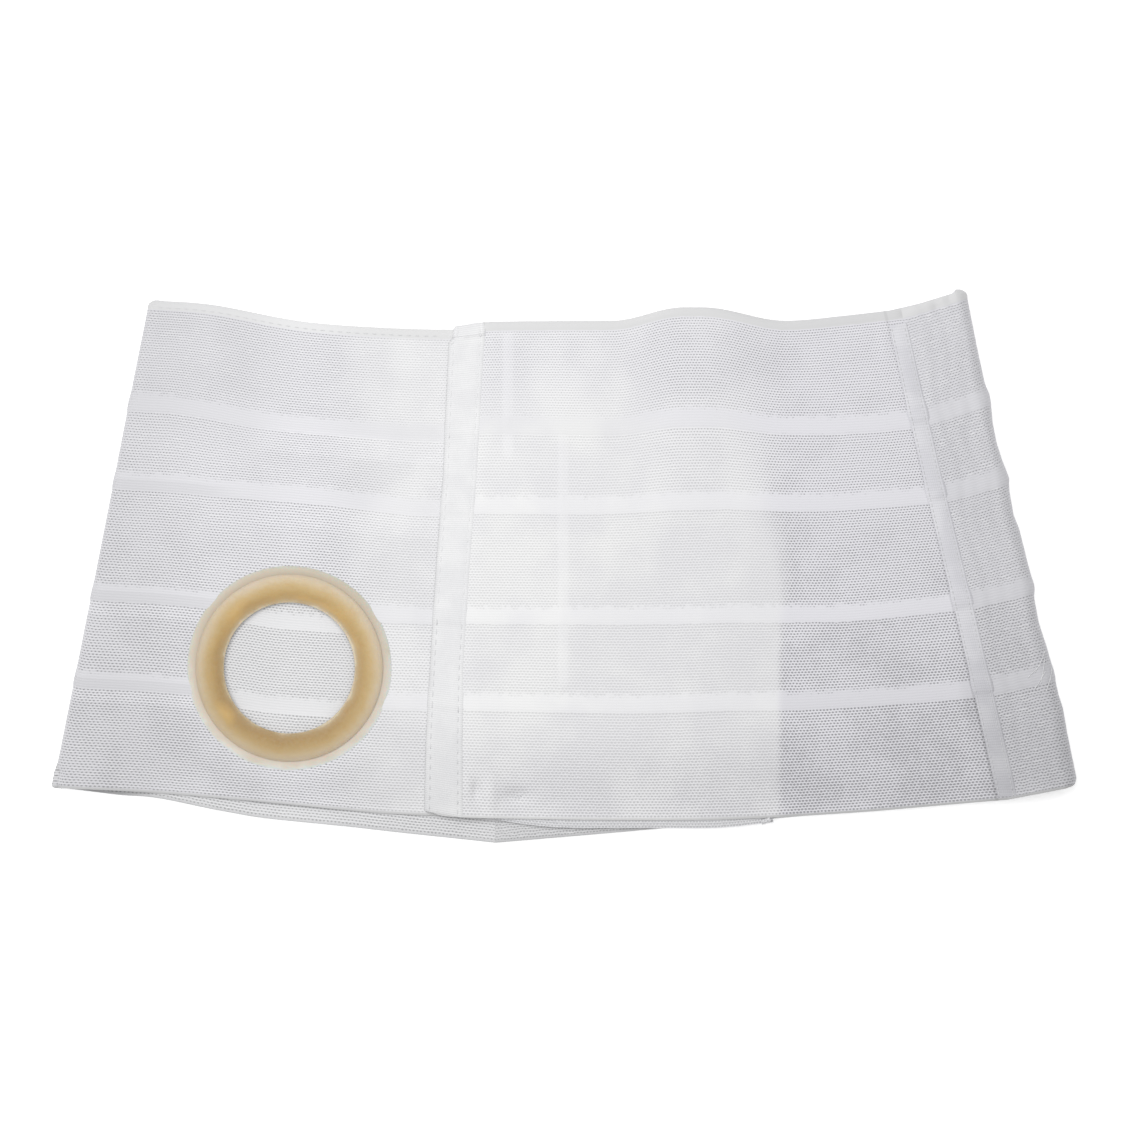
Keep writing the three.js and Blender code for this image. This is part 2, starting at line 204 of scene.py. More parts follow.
def woven_rows():
    """Rows of a mesh panel, from the lower edge to the upper edge."""
    marks = [Row(0, -0.2, 2), Row(0.5, 0.05, 2), Row(1.0, 0.05, 2), Row(1.3, 0, 0)]
    for middle in BANDS:
        low, high = middle - BAND_WIDTH / 2, middle + BAND_WIDTH / 2
        marks += [
            Row(low - 0.6, 0, 0),
            Row(low + 0.3, 0.2, 1),
            Row(low + 1.2, BAND_RAISE, 1),
            Row(middle, BAND_RAISE, 1),
            Row(middle + 1.6, 0.22, 1),
            Row(high - 1.0, 0.1, 0.62),
            Row(high + 1.6, 0, 0),
        ]
    hem = BELT_HEIGHT - HEM_HEIGHT
    marks += [
        Row(hem - 0.6, 0, 0),
        Row(hem + 0.3, 0.1, 2),
        Row(hem + 1.2, 0.35, 2),
        Row(BELT_HEIGHT - 2.2, 0.5, 2),
        Row(BELT_HEIGHT - 1.2, 0.25, 2),
        Row(BELT_HEIGHT - 0.4, -0.15, 2),
        Row(BELT_HEIGHT, -0.6, 2),
    ]
    return fill_rows(marks)


def fill_rows(marks):
    """The rows, with more put evenly between any two that are far apart."""
    rows = []
    for a, b in zip(marks, marks[1:]):
        steps = max(1, math.ceil((b.height - a.height) / ROW_STEP))
        rows += [Row(*(np.array(a) + (np.array(b) - np.array(a)) * k / steps)) for k in range(steps)]
    return [*rows, marks[-1]]


mesh_rows = woven_rows()
print("rows up the mesh:", len(mesh_rows))

# %% [markdown]
# ## Swell and folds
# Laid cloth is never quite flat. The front swells by fractions of a millimetre, the upper edge bulges
# up at one place, the elastic pulls in between the stiff bands at the right fold, and there are small
# puckers where the closure is sewn. All layers of the front swell together, so none cuts another.

# %% Swell
RING_X, RING_Y = -127.9, -47.7
Pucker = namedtuple("Pucker", "name x y wide high depth")
PUCKERS = [
    Pucker("beside strip, left", -41.4, -104.0, 2.2, 4.2, -2.3),
    Pucker("beside strip, ridge", -34.5, -107.5, 2.4, 7.0, 1.5),
    Pucker("beside strip, right", -23.0, -107.0, 6.0, 3.0, -2.3),
    Pucker("seam top", 148.0, 103.0, 3.0, 7.0, 0.8),
    Pucker("hem, over the seam", 156.3, 116.2, 1.8, 2.0, -0.9),
    Pucker("hem, middle", 171.5, 119.5, 2.2, 2.2, -1.0),
    Pucker("hem, beside the fold", 177.5, 123.0, 1.8, 1.8, -0.8),
    Pucker("under hump", 62.0, 92.0, 26.0, 10.0, 0.7),
    Pucker("over dip", 101.0, 98.0, 10.0, 14.0, -0.5),
    Pucker("fold, low crease", 222.0, -49.0, 4.0, 1.6, -0.6),
    Pucker("fold, upper crease", 187.0, 63.0, 2.0, 9.0, -0.7),
]


def smooth_step(low, high, x):
    t = np.clip((x - low) / (high - low), 0, 1)
    return t * t * (3 - 2 * t)


LOWER_EDGE_X = [-237.4, -192.4, -136.8, -83.6, -37.7, 25.2, 78.5, 131.7, 166.4, 204.9, 236.4]
LOWER_EDGE_Y = [-103.2, -105.6, -110.2, -115.3, -117.0, -118.3, -117.9, -115.1, -112.2, -108.8, -102.3]
SAG, SAG_RUN = 5.8, 46.0
RING_HOLDS, HELD_WIDE = 0.4, 36.0
DROOP, DROOP_RUN = 1.6, 15.0
EXTRA_SAG, EXTRA_RUN = 2.45, 36.0


def sag(x, y):
    """How far the front has sunk onto the back along its lower edge, between the two folds."""
    near_edge = smooth_step(SAG_RUN, 0, y - np.interp(x, LOWER_EDGE_X, LOWER_EDGE_Y))
    between = smooth_step(-228, -188, x) * smooth_step(226, 182, x)
    beside_ring = smooth_step(47, 64, np.hypot(x - RING_X, y - RING_Y))
    return SAG * near_edge * between * beside_ring * (1 - RING_HOLDS * under_ring(x))


def under_ring(x):
    """1 straight under the ring, which holds the cloth up, and less to either side."""
    return np.exp(-(((x - RING_X) / HELD_WIDE) ** 2))


def beside_closure(x):
    """1 along the part of the left panel beside the closure, where its lower edge droops."""
    return smooth_step(-112, -96, x) * smooth_step(-30, -46, x)


def droop(x, y):
    """How far the lower edge turns down, beside the closure and at the right."""
    near_edge = smooth_step(DROOP_RUN, 0, y - np.interp(x, LOWER_EDGE_X, LOWER_EDGE_Y))
    at_right = smooth_step(112, 140, x) * smooth_step(226, 205, x)
    return DROOP * near_edge * (beside_closure(x) + at_right)


def extra_sag(x, y):
    """How much further the right panel has sunk onto the flap, below the hook patch."""
    near_edge = smooth_step(EXTRA_RUN, 0, y - np.interp(x, LOWER_EDGE_X, LOWER_EDGE_Y))
    return EXTRA_SAG * near_edge * smooth_step(-46, -18, x) * smooth_step(190, 120, x)


def swell(x, y):
    """How far the front stands above its plain level, in millimetres. It is flat under the ring."""
    wave = 0.34 * np.sin(x / 23 + 0.6 * np.sin(y / 31)) + 0.26 * np.sin(y / 17 + x / 61 + 1.3)
    wave += 0.22 * np.sin(x / 11.3 - y / 29 + 0.4) * np.sin(y / 37 + 2)
    beside_ring = smooth_step(52, 80, np.hypot(x - RING_X, y - RING_Y))
    return (wave + 0.4) * beside_ring - sag(x, y) - droop(x, y)


HUMP_LEFT, HUMP_RIGHT = 55.0, 63.0
HUMP_RUN_LEFT, HUMP_RUN_RIGHT = 34.0, 41.0


def hump(x, y_share):
    """Share of the bulge in the right panel's upper edge: level at the top, sloping at both sides."""
    across = np.maximum((HUMP_LEFT - x) / HUMP_RUN_LEFT, (x - HUMP_RIGHT) / HUMP_RUN_RIGHT)
    return np.cos(np.clip(across, 0, 1) * np.pi / 2) ** 2 * smooth_step(0.55, 1, y_share)


def pucker(x, y):
    total = np.zeros_like(x)
    for p in PUCKERS:
        total += p.depth * np.exp(-(((x - p.x) / p.wide) ** 2) - ((y - p.y) / p.high) ** 2)
    return total


print("swell at the middle:", round(float(swell(np.array(0.0), np.array(0.0))), 2), "mm")

# %% [markdown]
# ## From columns and rows to cloth
# A grid is added with one vertex for each column and row, and every vertex is put in its place on the
# outside of the cloth. The grid keeps a map of how far each vertex lies along and up the cloth, so the
# weave can follow it round the folds, and a value that says where it is closely woven. Solidify then
# gives it its thickness, towards the inside.

# %% Cloth from a grid
MAP_SPAN = 500.0


def select_only(piece):
    bpy.ops.object.select_all(action="DESELECT")
    piece.select_set(True)
    bpy.context.view_layer.objects.active = piece


def apply_modifier(piece, kind, **settings):
    """Adds one modifier with its settings and applies it."""
    select_only(piece)
    modifier = piece.modifiers.new(kind.lower(), kind)
    for name, value in settings.items():
        setattr(modifier, name, value)
    bpy.ops.object.modifier_apply(modifier=modifier.name)


def lay_cloth(columns, rows, shape=None):
    """Middle of the cloth at each column and row, in millimetres, with what shape adds."""
    low, top = np.array(columns)[:, None, :3], np.array(columns)[:, None, 3:]
    share = np.array([r.height for r in rows]) / rows[-1].height
    middle = low + (top - low) * share[None, :, None]
    return shape(middle, np.broadcast_to(share, middle.shape[:2])) if shape else middle


def outside(middle, rows, half):
    """Places on the outside of the cloth: half a wall, and each row's own height, off its middle."""
    along, up = np.gradient(middle, axis=0), np.gradient(middle, axis=1)
    normal = np.cross(up, along)
    normal /= np.linalg.norm(normal, axis=2, keepdims=True)
    return middle + normal * np.array([half + r.out for r in rows])[None, :, None]


def cloth_piece(name, columns, rows, thickness, shape=None, half=WALL / 2, cut=None):
    """A piece of cloth through the columns and rows. cut says which faces to leave out, by place."""
    middle = lay_cloth(columns, rows, shape)
    places = outside(middle, rows, half)
    count, high = middle.shape[:2]
    bpy.ops.mesh.primitive_grid_add(x_subdivisions=count - 1, y_subdivisions=high - 1, size=1)
    piece = bpy.context.object
    piece.name = piece.data.name = name
    mesh = piece.data
    mesh.vertices.foreach_set("co", (places.transpose(1, 0, 2) * MM).ravel())
    run = np.linalg.norm(np.diff(middle, axis=0), axis=2).mean(axis=1)
    distance = np.concatenate([[0], np.cumsum(run)])
    height = np.array([r.height for r in rows])
    flat = np.stack(np.broadcast_arrays(distance[None, :], height[:, None]), axis=2) / MAP_SPAN
    of_corner = np.empty(len(mesh.loops), int)
    mesh.loops.foreach_get("vertex_index", of_corner)
    mesh.uv_layers[0].name = "weave"
    mesh.uv_layers[0].data.foreach_set("uv", flat.reshape(-1, 2)[of_corner].ravel())
    close = mesh.attributes.new("close", "FLOAT", "POINT")
    close.data.foreach_set("value", np.repeat([r.close for r in rows], count).astype(np.float32))
    level = mesh.attributes.new("level", "FLOAT", "POINT")
    level.data.foreach_set("value", np.tile([c[2] for c in columns], high).astype(np.float32))
    bpy.ops.object.mode_set(mode="EDIT")
    bpy.ops.mesh.select_all(action="SELECT")
    bpy.ops.mesh.flip_normals()
    bpy.ops.mesh.select_all(action="DESELECT")
    bpy.ops.object.mode_set(mode="OBJECT")
    mesh.update()
    if cut:
        for face in mesh.polygons:
            face.select = cut(face.center / MM)
        bpy.ops.object.mode_set(mode="EDIT")
        bpy.ops.mesh.delete(type="FACE")
        bpy.ops.object.mode_set(mode="OBJECT")
    apply_modifier(piece, "SOLIDIFY", thickness=thickness * MM, offset=-1.0)
    bpy.ops.object.shade_smooth_by_angle(angle=math.radians(50))
    print(name, len(mesh.polygons), "faces,", round(distance[-1]), "mm long")
    return piece


# %% [markdown]
# ## The three mesh panels
# Left, back and right panel are the same cloth. Their shapes differ in what the hand that laid them
# did: only the right panel has the bulge and the puckers, and only the right fold is drawn in between
# its bands.

# %% Panels
FoldMark = namedtuple("FoldMark", "height out")
RIGHT_FOLD_EDGE = [
    FoldMark(0, 0.0),
    FoldMark(14, 0.2),
    FoldMark(25, 0.4),
    FoldMark(36, 1.0),
    FoldMark(42, 0.3),
    FoldMark(53, 0.4),
    FoldMark(64, -0.2),
    FoldMark(75, -1.4),
    FoldMark(86, -1.0),
    FoldMark(92, 0.1),
    FoldMark(103, -0.3),
    FoldMark(119, -0.7),
    FoldMark(125, -1.8),
    FoldMark(136, -1.3),
    FoldMark(142, -0.3),
    FoldMark(147, -0.9),
    FoldMark(158, -2.2),
    FoldMark(168, -2.0),
    FoldMark(175, -1.0),
    FoldMark(181, -0.9),
    FoldMark(186, -1.6),
    FoldMark(203, -1.5),
    FoldMark(225, -1.0),
    FoldMark(229, -0.8),
]
BandShift = namedtuple("BandShift", "x lowest second third top")
LEFT_SHIFTS = [
    BandShift(-183.0, -2.0, -1.1, -0.8, 1.0),
    BandShift(-165.0, -1.8, -1.0, -0.6, -0.2),
    BandShift(-146.0, -1.5, -0.7, 1.1, -0.9),
    BandShift(-127.5, -1.2, -0.2, 2.2, -0.4),
    BandShift(-109.0, -0.8, 0.3, 2.4, 0.0),
    BandShift(-90.5, -0.2, 0.8, 1.3, -0.1),
    BandShift(-71.0, 0.4, 1.1, -0.1, -0.2),
]
BEHIND_SHIFTS = [BandShift(0.0, 0.6, -0.6, 0.0, 0.0)]
RIGHT_SHIFTS = [
    BandShift(-28.0, 0.7, 0.4, -0.8, 1.0),
    BandShift(10.0, 0.4, 0.6, -1.0, 0.3),
    BandShift(30.0, 0.2, 0.6, -0.3, 0.3),
    BandShift(50.0, 0.7, 0.9, 0.7, 1.0),
    BandShift(75.0, 1.3, 1.1, 1.1, 1.0),
    BandShift(108.0, 0.2, 0.4, -0.5, 0.1),
    BandShift(127.0, 0.2, -0.5, -1.2, -1.3),
    BandShift(146.0, -0.2, -0.9, -1.9, -2.2),
    BandShift(173.0, -0.8, -0.5, -2.6, -2.2),
    BandShift(190.0, -0.6, -0.4, -2.5, -1.4),
    BandShift(205.0, -0.6, -0.4, -2.0, -1.0),
]
CORNER_ROUND, LOW_CORNER_ROUND = 4.0, 1.8
TUCK_IN, TUCK_OUT, TUCK_HIGH = 1.8, 0.9, 11.0
RIPPLE, RIPPLE_STEP = 0.14, 6.5
LAP, LAP_REACH = 0.35, 5.8
LAP_EDGE_LOW, LAP_EDGE_TOP = 209.5, 158.1


def swollen(middle, rise=1.0):
    """Lifts the cloth by the swell of the front, less towards the layer on the table."""
    middle[..., 2] += swell(middle[..., 0], middle[..., 1]) * rise
    return middle


def band_shift(x, height, shifts):
    """How far the cloth is drawn up at each place, so that the bands run as they are pulled there."""
    stops = [0, *BANDS, BELT_HEIGHT]
    total = np.zeros_like(x)
    for k in range(1, 1 + len(BANDS)):
        along = np.interp(x, [s.x for s in shifts], [s[k] for s in shifts])
        total += along * np.interp(height, stops, np.eye(len(stops))[k])
    return total


CURL, CURL_RUN = 2.5, 36.0
CURL_HELD, CURL_LOW = 0.9, 0.35
RING_LIFT, LEVEL_OUT = 8.0, 0.045


def lift_back(middle, share, rise):
    """The back layer's lower edge curls up off the table, and it bulges up into the ring's opening."""
    x, y = middle[..., 0], middle[..., 1]
    curl = CURL * smooth_step(CURL_RUN, 2, share * BELT_HEIGHT) * smooth_step(228, 185, np.abs(x))
    curl *= 1 + CURL_HELD * under_ring(x) - CURL_LOW * beside_closure(x)
    from_ring = np.hypot(x - RING_X, y - RING_Y)
    bulge = RING_LIFT * smooth_step(80, 32, from_ring)
    middle[..., 2] += np.maximum(curl, bulge) * (1 - rise)
    middle[..., 1] += LEVEL_OUT * (x - RING_X) * smooth_step(95, 40, from_ring) * (1 - rise)


def left_shape(middle, share):
    """Rounds the corners of the left fold, tucks in the front of its lower end, then lifts both layers."""
    rise = np.clip((middle[..., 2] - BACK_LEVEL) / (LEFT_LEVEL - BACK_LEVEL), 0, 1)
    turn = np.sqrt(np.clip(1 - (rise * 2 - 1) ** 2, 0, 1))
    height = share * BELT_HEIGHT
    tuck = smooth_step(TUCK_HIGH, TUCK_HIGH - 2.5, height) * np.where(rise > 0.5, TUCK_IN, -TUCK_OUT)
    middle[..., 1] += band_shift(middle[..., 0], height, LEFT_SHIFTS) * rise
    middle[..., 1] += band_shift(middle[..., 0], height, BEHIND_SHIFTS) * (1 - rise)
    middle[..., 0] += (corner_pull(height, LOW_CORNER_ROUND) + tuck) * turn
    lift_back(middle, share, rise)
    return swollen(middle, rise)


def flap_shape(middle, share):
    return swollen(middle)


def corner_pull(height, low_round=CORNER_ROUND):
    """How far the fold is drawn in at its upper and lower end, so that the corners are round."""
    past_top = np.clip((height - BELT_HEIGHT) / CORNER_ROUND + 1, 0, 1)
    past_low = np.clip(1 - height / low_round, 0, 1)
    return CORNER_ROUND * (1 - np.sqrt(1 - past_top**2)) + low_round * (1 - np.sqrt(1 - past_low**2))


def back_shape(middle, share):
    """Gives the right fold its uneven edge and round corners, then lifts and ripples its front part."""
    height = share * BELT_HEIGHT
    rise = np.clip((middle[..., 2] - BACK_LEVEL) / (RIGHT_LEVEL - BACK_LEVEL), 0, 1)
    turn = np.sqrt(np.clip(1 - (rise * 2 - 1) ** 2, 0, 1))
    middle[..., 1] += band_shift(middle[..., 0], height, RIGHT_SHIFTS) * rise
    edge = np.interp(height, [m.height for m in RIGHT_FOLD_EDGE], [m.out for m in RIGHT_FOLD_EDGE])
    middle[..., 0] += (edge - corner_pull(height)) * turn
    from_fold = middle[..., 0] - RIGHT_FOLD.low_x - (RIGHT_FOLD.top_x - RIGHT_FOLD.low_x) * share
    ripple = RIPPLE * np.sin(from_fold / RIPPLE_STEP * math.tau + 2 * np.sin(height / 9))
    middle[..., 2] += ripple * smooth_step(0.9, 1.0, rise) * smooth_step(-34, -24, from_fold)
    middle[..., 2] += pucker(middle[..., 0], middle[..., 1]) * smooth_step(0.6, 1.0, rise)
    past_tape = middle[..., 0] - LAP_EDGE_LOW - (LAP_EDGE_TOP - LAP_EDGE_LOW) * share
    lap = smooth_step(LAP_REACH, LAP_REACH - 1.8, past_tape) * smooth_step(222, 212, height)
    middle[..., 2] += LAP * lap * smooth_step(0.9, 1.0, rise)
    lift_back(middle, share, rise)
    return swollen(middle, rise)


PATCH_SHOWS = 0.3
STRIP_RIGHT_LOW, STRIP_RIGHT_TOP = -47.5, -36.3


def over_patch(x, y):
    """The patch of hooks under the right panel lifts it a little, so that its sides show."""
    wide = smooth_step(1.2, -1.0, x + 0.2) * smooth_step(-60, -57, y) * smooth_step(63.5, 61, y)
    narrow = smooth_step(1.2, -1.0, x + 25.7) * smooth_step(60, 62, y) * smooth_step(104, 101, y)
    return PATCH_SHOWS * np.maximum(wide, narrow)


END_DROP, DROP_RUN = 1.55, 16.0


def end_drop(x, share):
    """How far the bound end of the right panel is pressed down, to the left of the hook patch."""
    strip_right = STRIP_RIGHT_LOW + (STRIP_RIGHT_TOP - STRIP_RIGHT_LOW) * share
    return END_DROP * smooth_step(strip_right + 4, strip_right + 4 - DROP_RUN, x)


def right_shape(middle, share):
    middle[..., 1] += band_shift(middle[..., 0], share * BELT_HEIGHT, RIGHT_SHIFTS)
    middle[..., 2] -= end_drop(middle[..., 0], share)
    bulge = hump(middle[..., 0], share)
    middle[..., 1] += 6.2 * bulge
    x, y = middle[..., 0], middle[..., 1]
    middle[..., 2] += 3 * bulge + pucker(x, y) + over_patch(x, y) - extra_sag(x, y)
    return swollen(middle)


MESH_WALL = 1.0
left_cloth = cloth_piece("left_cloth", left_columns, mesh_rows, MESH_WALL, left_shape)
back_cloth = cloth_piece("back_cloth", back_columns, mesh_rows, MESH_WALL, back_shape)
right_cloth = cloth_piece("right_cloth", right_columns, mesh_rows, MESH_WALL, right_shape)

# %% [markdown]
# The hole for the ring is cut through the front of the left panel only. A cylinder that stands across
# the front layer and stops short of the back layer does that in one Boolean.

# %% Ring hole
HOLE_RADIUS, PUNCH_DEPTH, PUNCH_UP = 36.0, 3.0, 0.8

bpy.ops.mesh.primitive_cylinder_add(
    vertices=96,
    radius=HOLE_RADIUS * MM,
    depth=PUNCH_DEPTH * MM,
    location=(RING_X * MM, RING_Y * MM, (LEFT_LEVEL + PUNCH_UP) * MM),
)
punch = bpy.context.object
apply_modifier(left_cloth, "BOOLEAN", operation="DIFFERENCE", object=punch, solver="EXACT")
bpy.data.objects.remove(punch)
print("left cloth after the cut:", len(left_cloth.data.polygons), "faces")

# %% [markdown]
# ## The flap and the hook patch
# The left panel carries on under the right panel as a plain, soft flap, and the patch of hooks between
# them holds the belt shut. Both only show through the mesh and along the lower edge.

# %% Flap and patch
flap_rows = fill_rows([Row(0, -0.2, 1), Row(1, 0.1, 1), Row(5, 0, 1), Row(231.7, 0, 1)])
flap_cloth = cloth_piece("flap_cloth", flap_columns, flap_rows, 1.0, flap_shape)

# The flap's free lower corner has rolled itself up into a small scroll.
ROLL_FROM, ROLL_TO = np.array([90.9, -119.3, 6.4]), np.array([95.2, -117.9, 6.5])
ROLL_WIDE, ROLL_TIGHT, ROLL_TURNS, ROLL_STEPS = 1.45, 0.75, 1.25, 18
roll_out = np.array([0.3, -0.95, 0.0])
roll_columns = []
for t in np.linspace(0, 1, ROLL_STEPS):
    radius, turn = ROLL_WIDE + (ROLL_TIGHT - ROLL_WIDE) * t, math.tau * ROLL_TURNS * t
    off = radius * (math.sin(turn) * roll_out - math.cos(turn) * np.array([0, 0, 1.0]))
    roll_columns.append(np.concatenate([ROLL_FROM + off, ROLL_TO + off]))
flap_roll = cloth_piece("flap_roll", roll_columns, [Row(h, 0, 1) for h in (0, 1.5, 3.0, 4.6)], 0.3, half=0.0)
select_only(flap_cloth)
flap_roll.select_set(True)
bpy.ops.object.join()
print("flap with its rolled corner:", len(flap_cloth.data.polygons), "faces")

PATCH_FLOOR, PATCH_TOP, PATCH_STEP_Y = 12.0, 13.3, 62.5
PATCH_LEFT = Section("patch left", -43.7, -57.9, -35.2, 101.9)
PATCH_STEP = Section("patch step", -25.7, -57.9, -25.7, 101.9)
PATCH_RIGHT = Section("patch right", -0.2, -57.9, -0.2, 101.9)
patch_level = (PATCH_FLOOR + PATCH_TOP) / 2
patch_columns = smooth_run([PATCH_RIGHT, PATCH_STEP, PATCH_LEFT], patch_level)
patch_rows = fill_rows([Row(0, 0, 1), Row(120.4, 0, 1), Row(159.8, 0, 1)])


def off_patch(place):
    return place.x > PATCH_STEP.low_x and place.y > PATCH_STEP_Y


hook_face = cloth_piece("hook_face", patch_columns, patch_rows, 1.0, flap_shape, half=0.5, cut=off_patch)
print("hook patch:", len(hook_face.data.polygons), "faces")

# %% [markdown]
# ## The closure strip
# The end of the right panel is bound with a plain tape that is folded round it. Seen in section it is a
# flat U, so the same grid of columns and rows makes it: the columns go round the U and the rows go up
# the belt.

# %% Closure strip
Corner = namedtuple("Corner", "across up")
STRIP_LOW = ((-65.5, -114.1), (-47.5, -117.1))
STRIP_TOP = ((-54.2, 110.6), (-36.3, 112.5))
UNDER, OVER = -1.0, 1.25


def across_columns(low, top, corners, level):
    """Columns that go across a tape, from its corners' shares of the width and heights."""
    columns = []
    for c in corners:
        a = np.array(low[0]) + (np.array(low[1]) - np.array(low[0])) * c.across
        b = np.array(top[0]) + (np.array(top[1]) - np.array(top[0])) * c.across
        columns.append(np.array([*a, level + c.up, *b, level + c.up]))
    return columns


STITCH_ROWS = (0.87, 0.13)
GROOVE, GROOVE_HALF = 0.14, 0.025
StripMark = namedtuple("StripMark", "share left right")
STRIP_EDGES = [
    StripMark(0, 0.0, -0.2),
    StripMark(0.15, -0.8, -1.9),
    StripMark(0.3, -0.6, -3.1),
    StripMark(0.52, -0.1, -2.3),
    StripMark(0.7, 1.0, -1.1),
    StripMark(0.965, 0.5, -0.6),
    StripMark(0.974, 2.5, -0.8),
    StripMark(1, 2.9, -1.3),
]

strip_corners = [
    Corner(1.0, OVER - 0.5),
    Corner(0.975, OVER - 0.22),
    Corner(0.93, OVER - 0.03),
    Corner(STITCH_ROWS[0] + GROOVE_HALF, OVER),
    Corner(STITCH_ROWS[0], OVER - GROOVE),
    Corner(STITCH_ROWS[0] - GROOVE_HALF, OVER),
    Corner(0.74, OVER + 0.1),
    Corner(0.62, OVER + 0.1),
    Corner(0.5, OVER + 0.1),
    Corner(0.38, OVER + 0.1),
    Corner(0.26, OVER + 0.05),
    Corner(STITCH_ROWS[1] + GROOVE_HALF, OVER - 0.06),
    Corner(STITCH_ROWS[1], OVER - 0.06 - GROOVE),
    Corner(STITCH_ROWS[1] - GROOVE_HALF, OVER - 0.22),
    Corner(0.085, OVER - 0.4),
    Corner(0.055, OVER - 0.78),
    Corner(0.03, OVER - 1.18),
    Corner(0.012, OVER - 1.6),
    Corner(0.0, UNDER + 0.22),
    Corner(0.004, UNDER),
    Corner(0.02, UNDER - 0.15),
    Corner(0.06, UNDER - 0.1),
]
strip_corners += [Corner(across, UNDER) for across in (0.2, 0.4, 0.6, 0.8, 1.0)]
STRIP_BUMP = 0.25
strip_marks = [Row(0, -0.3, 1), Row(0.5, 0, 1)]
for middle in BANDS:
    low, high = middle - BAND_WIDTH / 2, middle + BAND_WIDTH / 2
    strip_marks += [
        Row(low - 0.4, 0, 1),
        Row(low + 0.4, STRIP_BUMP, 1),
        Row(high - 1.0, STRIP_BUMP, 1),
        Row(high + 1.0, 0, 1),
    ]
strip_marks += [Row(223.2, 0, 1), Row(223.6, 0.45, 1), Row(227.6, 0.35, 1), Row(228.6, 0, 1), Row(229, -0.4, 1)]
strip_rows = fill_rows(strip_marks)


def strip_shape(middle, share):
    """Bends both edges of the strip as they lie, and lifts it with the front."""
    across = np.array([c.across for c in strip_corners])[:, None]
    marks = [m.share for m in STRIP_EDGES]
    left = np.interp(share, marks, [m.left for m in STRIP_EDGES])
    right = np.interp(share, marks, [m.right for m in STRIP_EDGES])
    middle[..., 0] += left * (1 - across) + right * across
    middle[..., 1] += band_shift(middle[..., 0], share * BELT_HEIGHT, RIGHT_SHIFTS)
    middle[..., 2] -= end_drop(middle[..., 0], share)
    return swollen(middle)


strip_columns = across_columns(STRIP_LOW, STRIP_TOP, strip_corners, RIGHT_LEVEL)
strip_tape = cloth_piece("strip_tape", strip_columns, strip_rows, 0.35, strip_shape, half=0.0)

# %% [markdown]
# ## The side seam
# The back panel comes round the right fold and is lapped on the right panel. The lap shows as a paler
# strip that rides over the bands, with a line of stitches along each side.

# %% Side seam
TAPE_LOW = ((200.2, -107.4), (209.5, -107.0))
TAPE_TOP = ((149.7, 111.3), (158.1, 112.5))
TAPE_UP = 1.35
tape_corners = [
    Corner(1.0, 0.8),
    Corner(0.97, 1.15),
    Corner(0.9, TAPE_UP),
    Corner(0.8, TAPE_UP - 0.15),
    Corner(0.7, TAPE_UP + 0.05),
    Corner(0.4, TAPE_UP + 0.1),
    Corner(0.1, TAPE_UP),
    Corner(0.03, 1.15),
    Corner(0.0, 0.8),
]
tape_rows = [Row(r.height, r.out * 2.2 if 4 < r.height < 215 else -0.3, 1) for r in mesh_rows]
tape_rows = [r for r in tape_rows if r.height < 221]
tape_columns = across_columns(TAPE_LOW, TAPE_TOP, tape_corners, RIGHT_LEVEL)


def tape_shape(middle, share):
    middle[..., 1] += band_shift(middle[..., 0], share * tape_rows[-1].height, RIGHT_SHIFTS)
    return swollen(middle)


seam_tape = cloth_piece("seam_tape", tape_columns, tape_rows, 0.5, tape_shape, half=0.0)

# %% [markdown]
# ## The ring and its flange
# The ring is moulded in soft vinyl: rounded above, with a thin lip round the opening. A profile drawn
# as a chain of vertices and spun about the ring's axis gives the whole body. A pale, thin flange lies
# round it on the mesh.

# %% Ring
Profile = namedtuple("Profile", "radius up")
RING_PROFILE = [
    Profile(31.2, 0.6),
    Profile(32.6, 0.2),
    Profile(34.0, -0.3),
    Profile(35.5, -0.5),
    Profile(35.6, 0.65),
    Profile(36.2, 0.7),
    Profile(41.0, 0.7),
    Profile(41.2, 1.34),
    Profile(42.9, 1.4),
    Profile(43.25, 1.55),
    Profile(43.3, 1.85),
    Profile(42.95, 2.12),
    Profile(42.2, 2.34),
    Profile(41.2, 2.52),
    Profile(39.8, 2.66),
    Profile(38.2, 2.72),
    Profile(36.6, 2.7),
    Profile(35.2, 2.6),
    Profile(34.0, 2.44),
    Profile(33.0, 2.25),
    Profile(32.2, 2.06),
    Profile(31.5, 1.88),
    Profile(30.9, 1.7),
    Profile(30.45, 1.5),
    Profile(30.3, 1.25),
    Profile(30.4, 0.95),
    Profile(30.7, 0.75),
]
FLANGE_PROFILE = [
    Profile(41.6, 0.65),
    Profile(46.6, 0.65),
    Profile(47.2, 0.66),
    Profile(47.3, 0.7),
    Profile(46.9, 0.82),
    Profile(46.3, 1.0),
    Profile(45.4, 1.18),
    Profile(44.2, 1.28),
    Profile(41.6, 1.3),
]


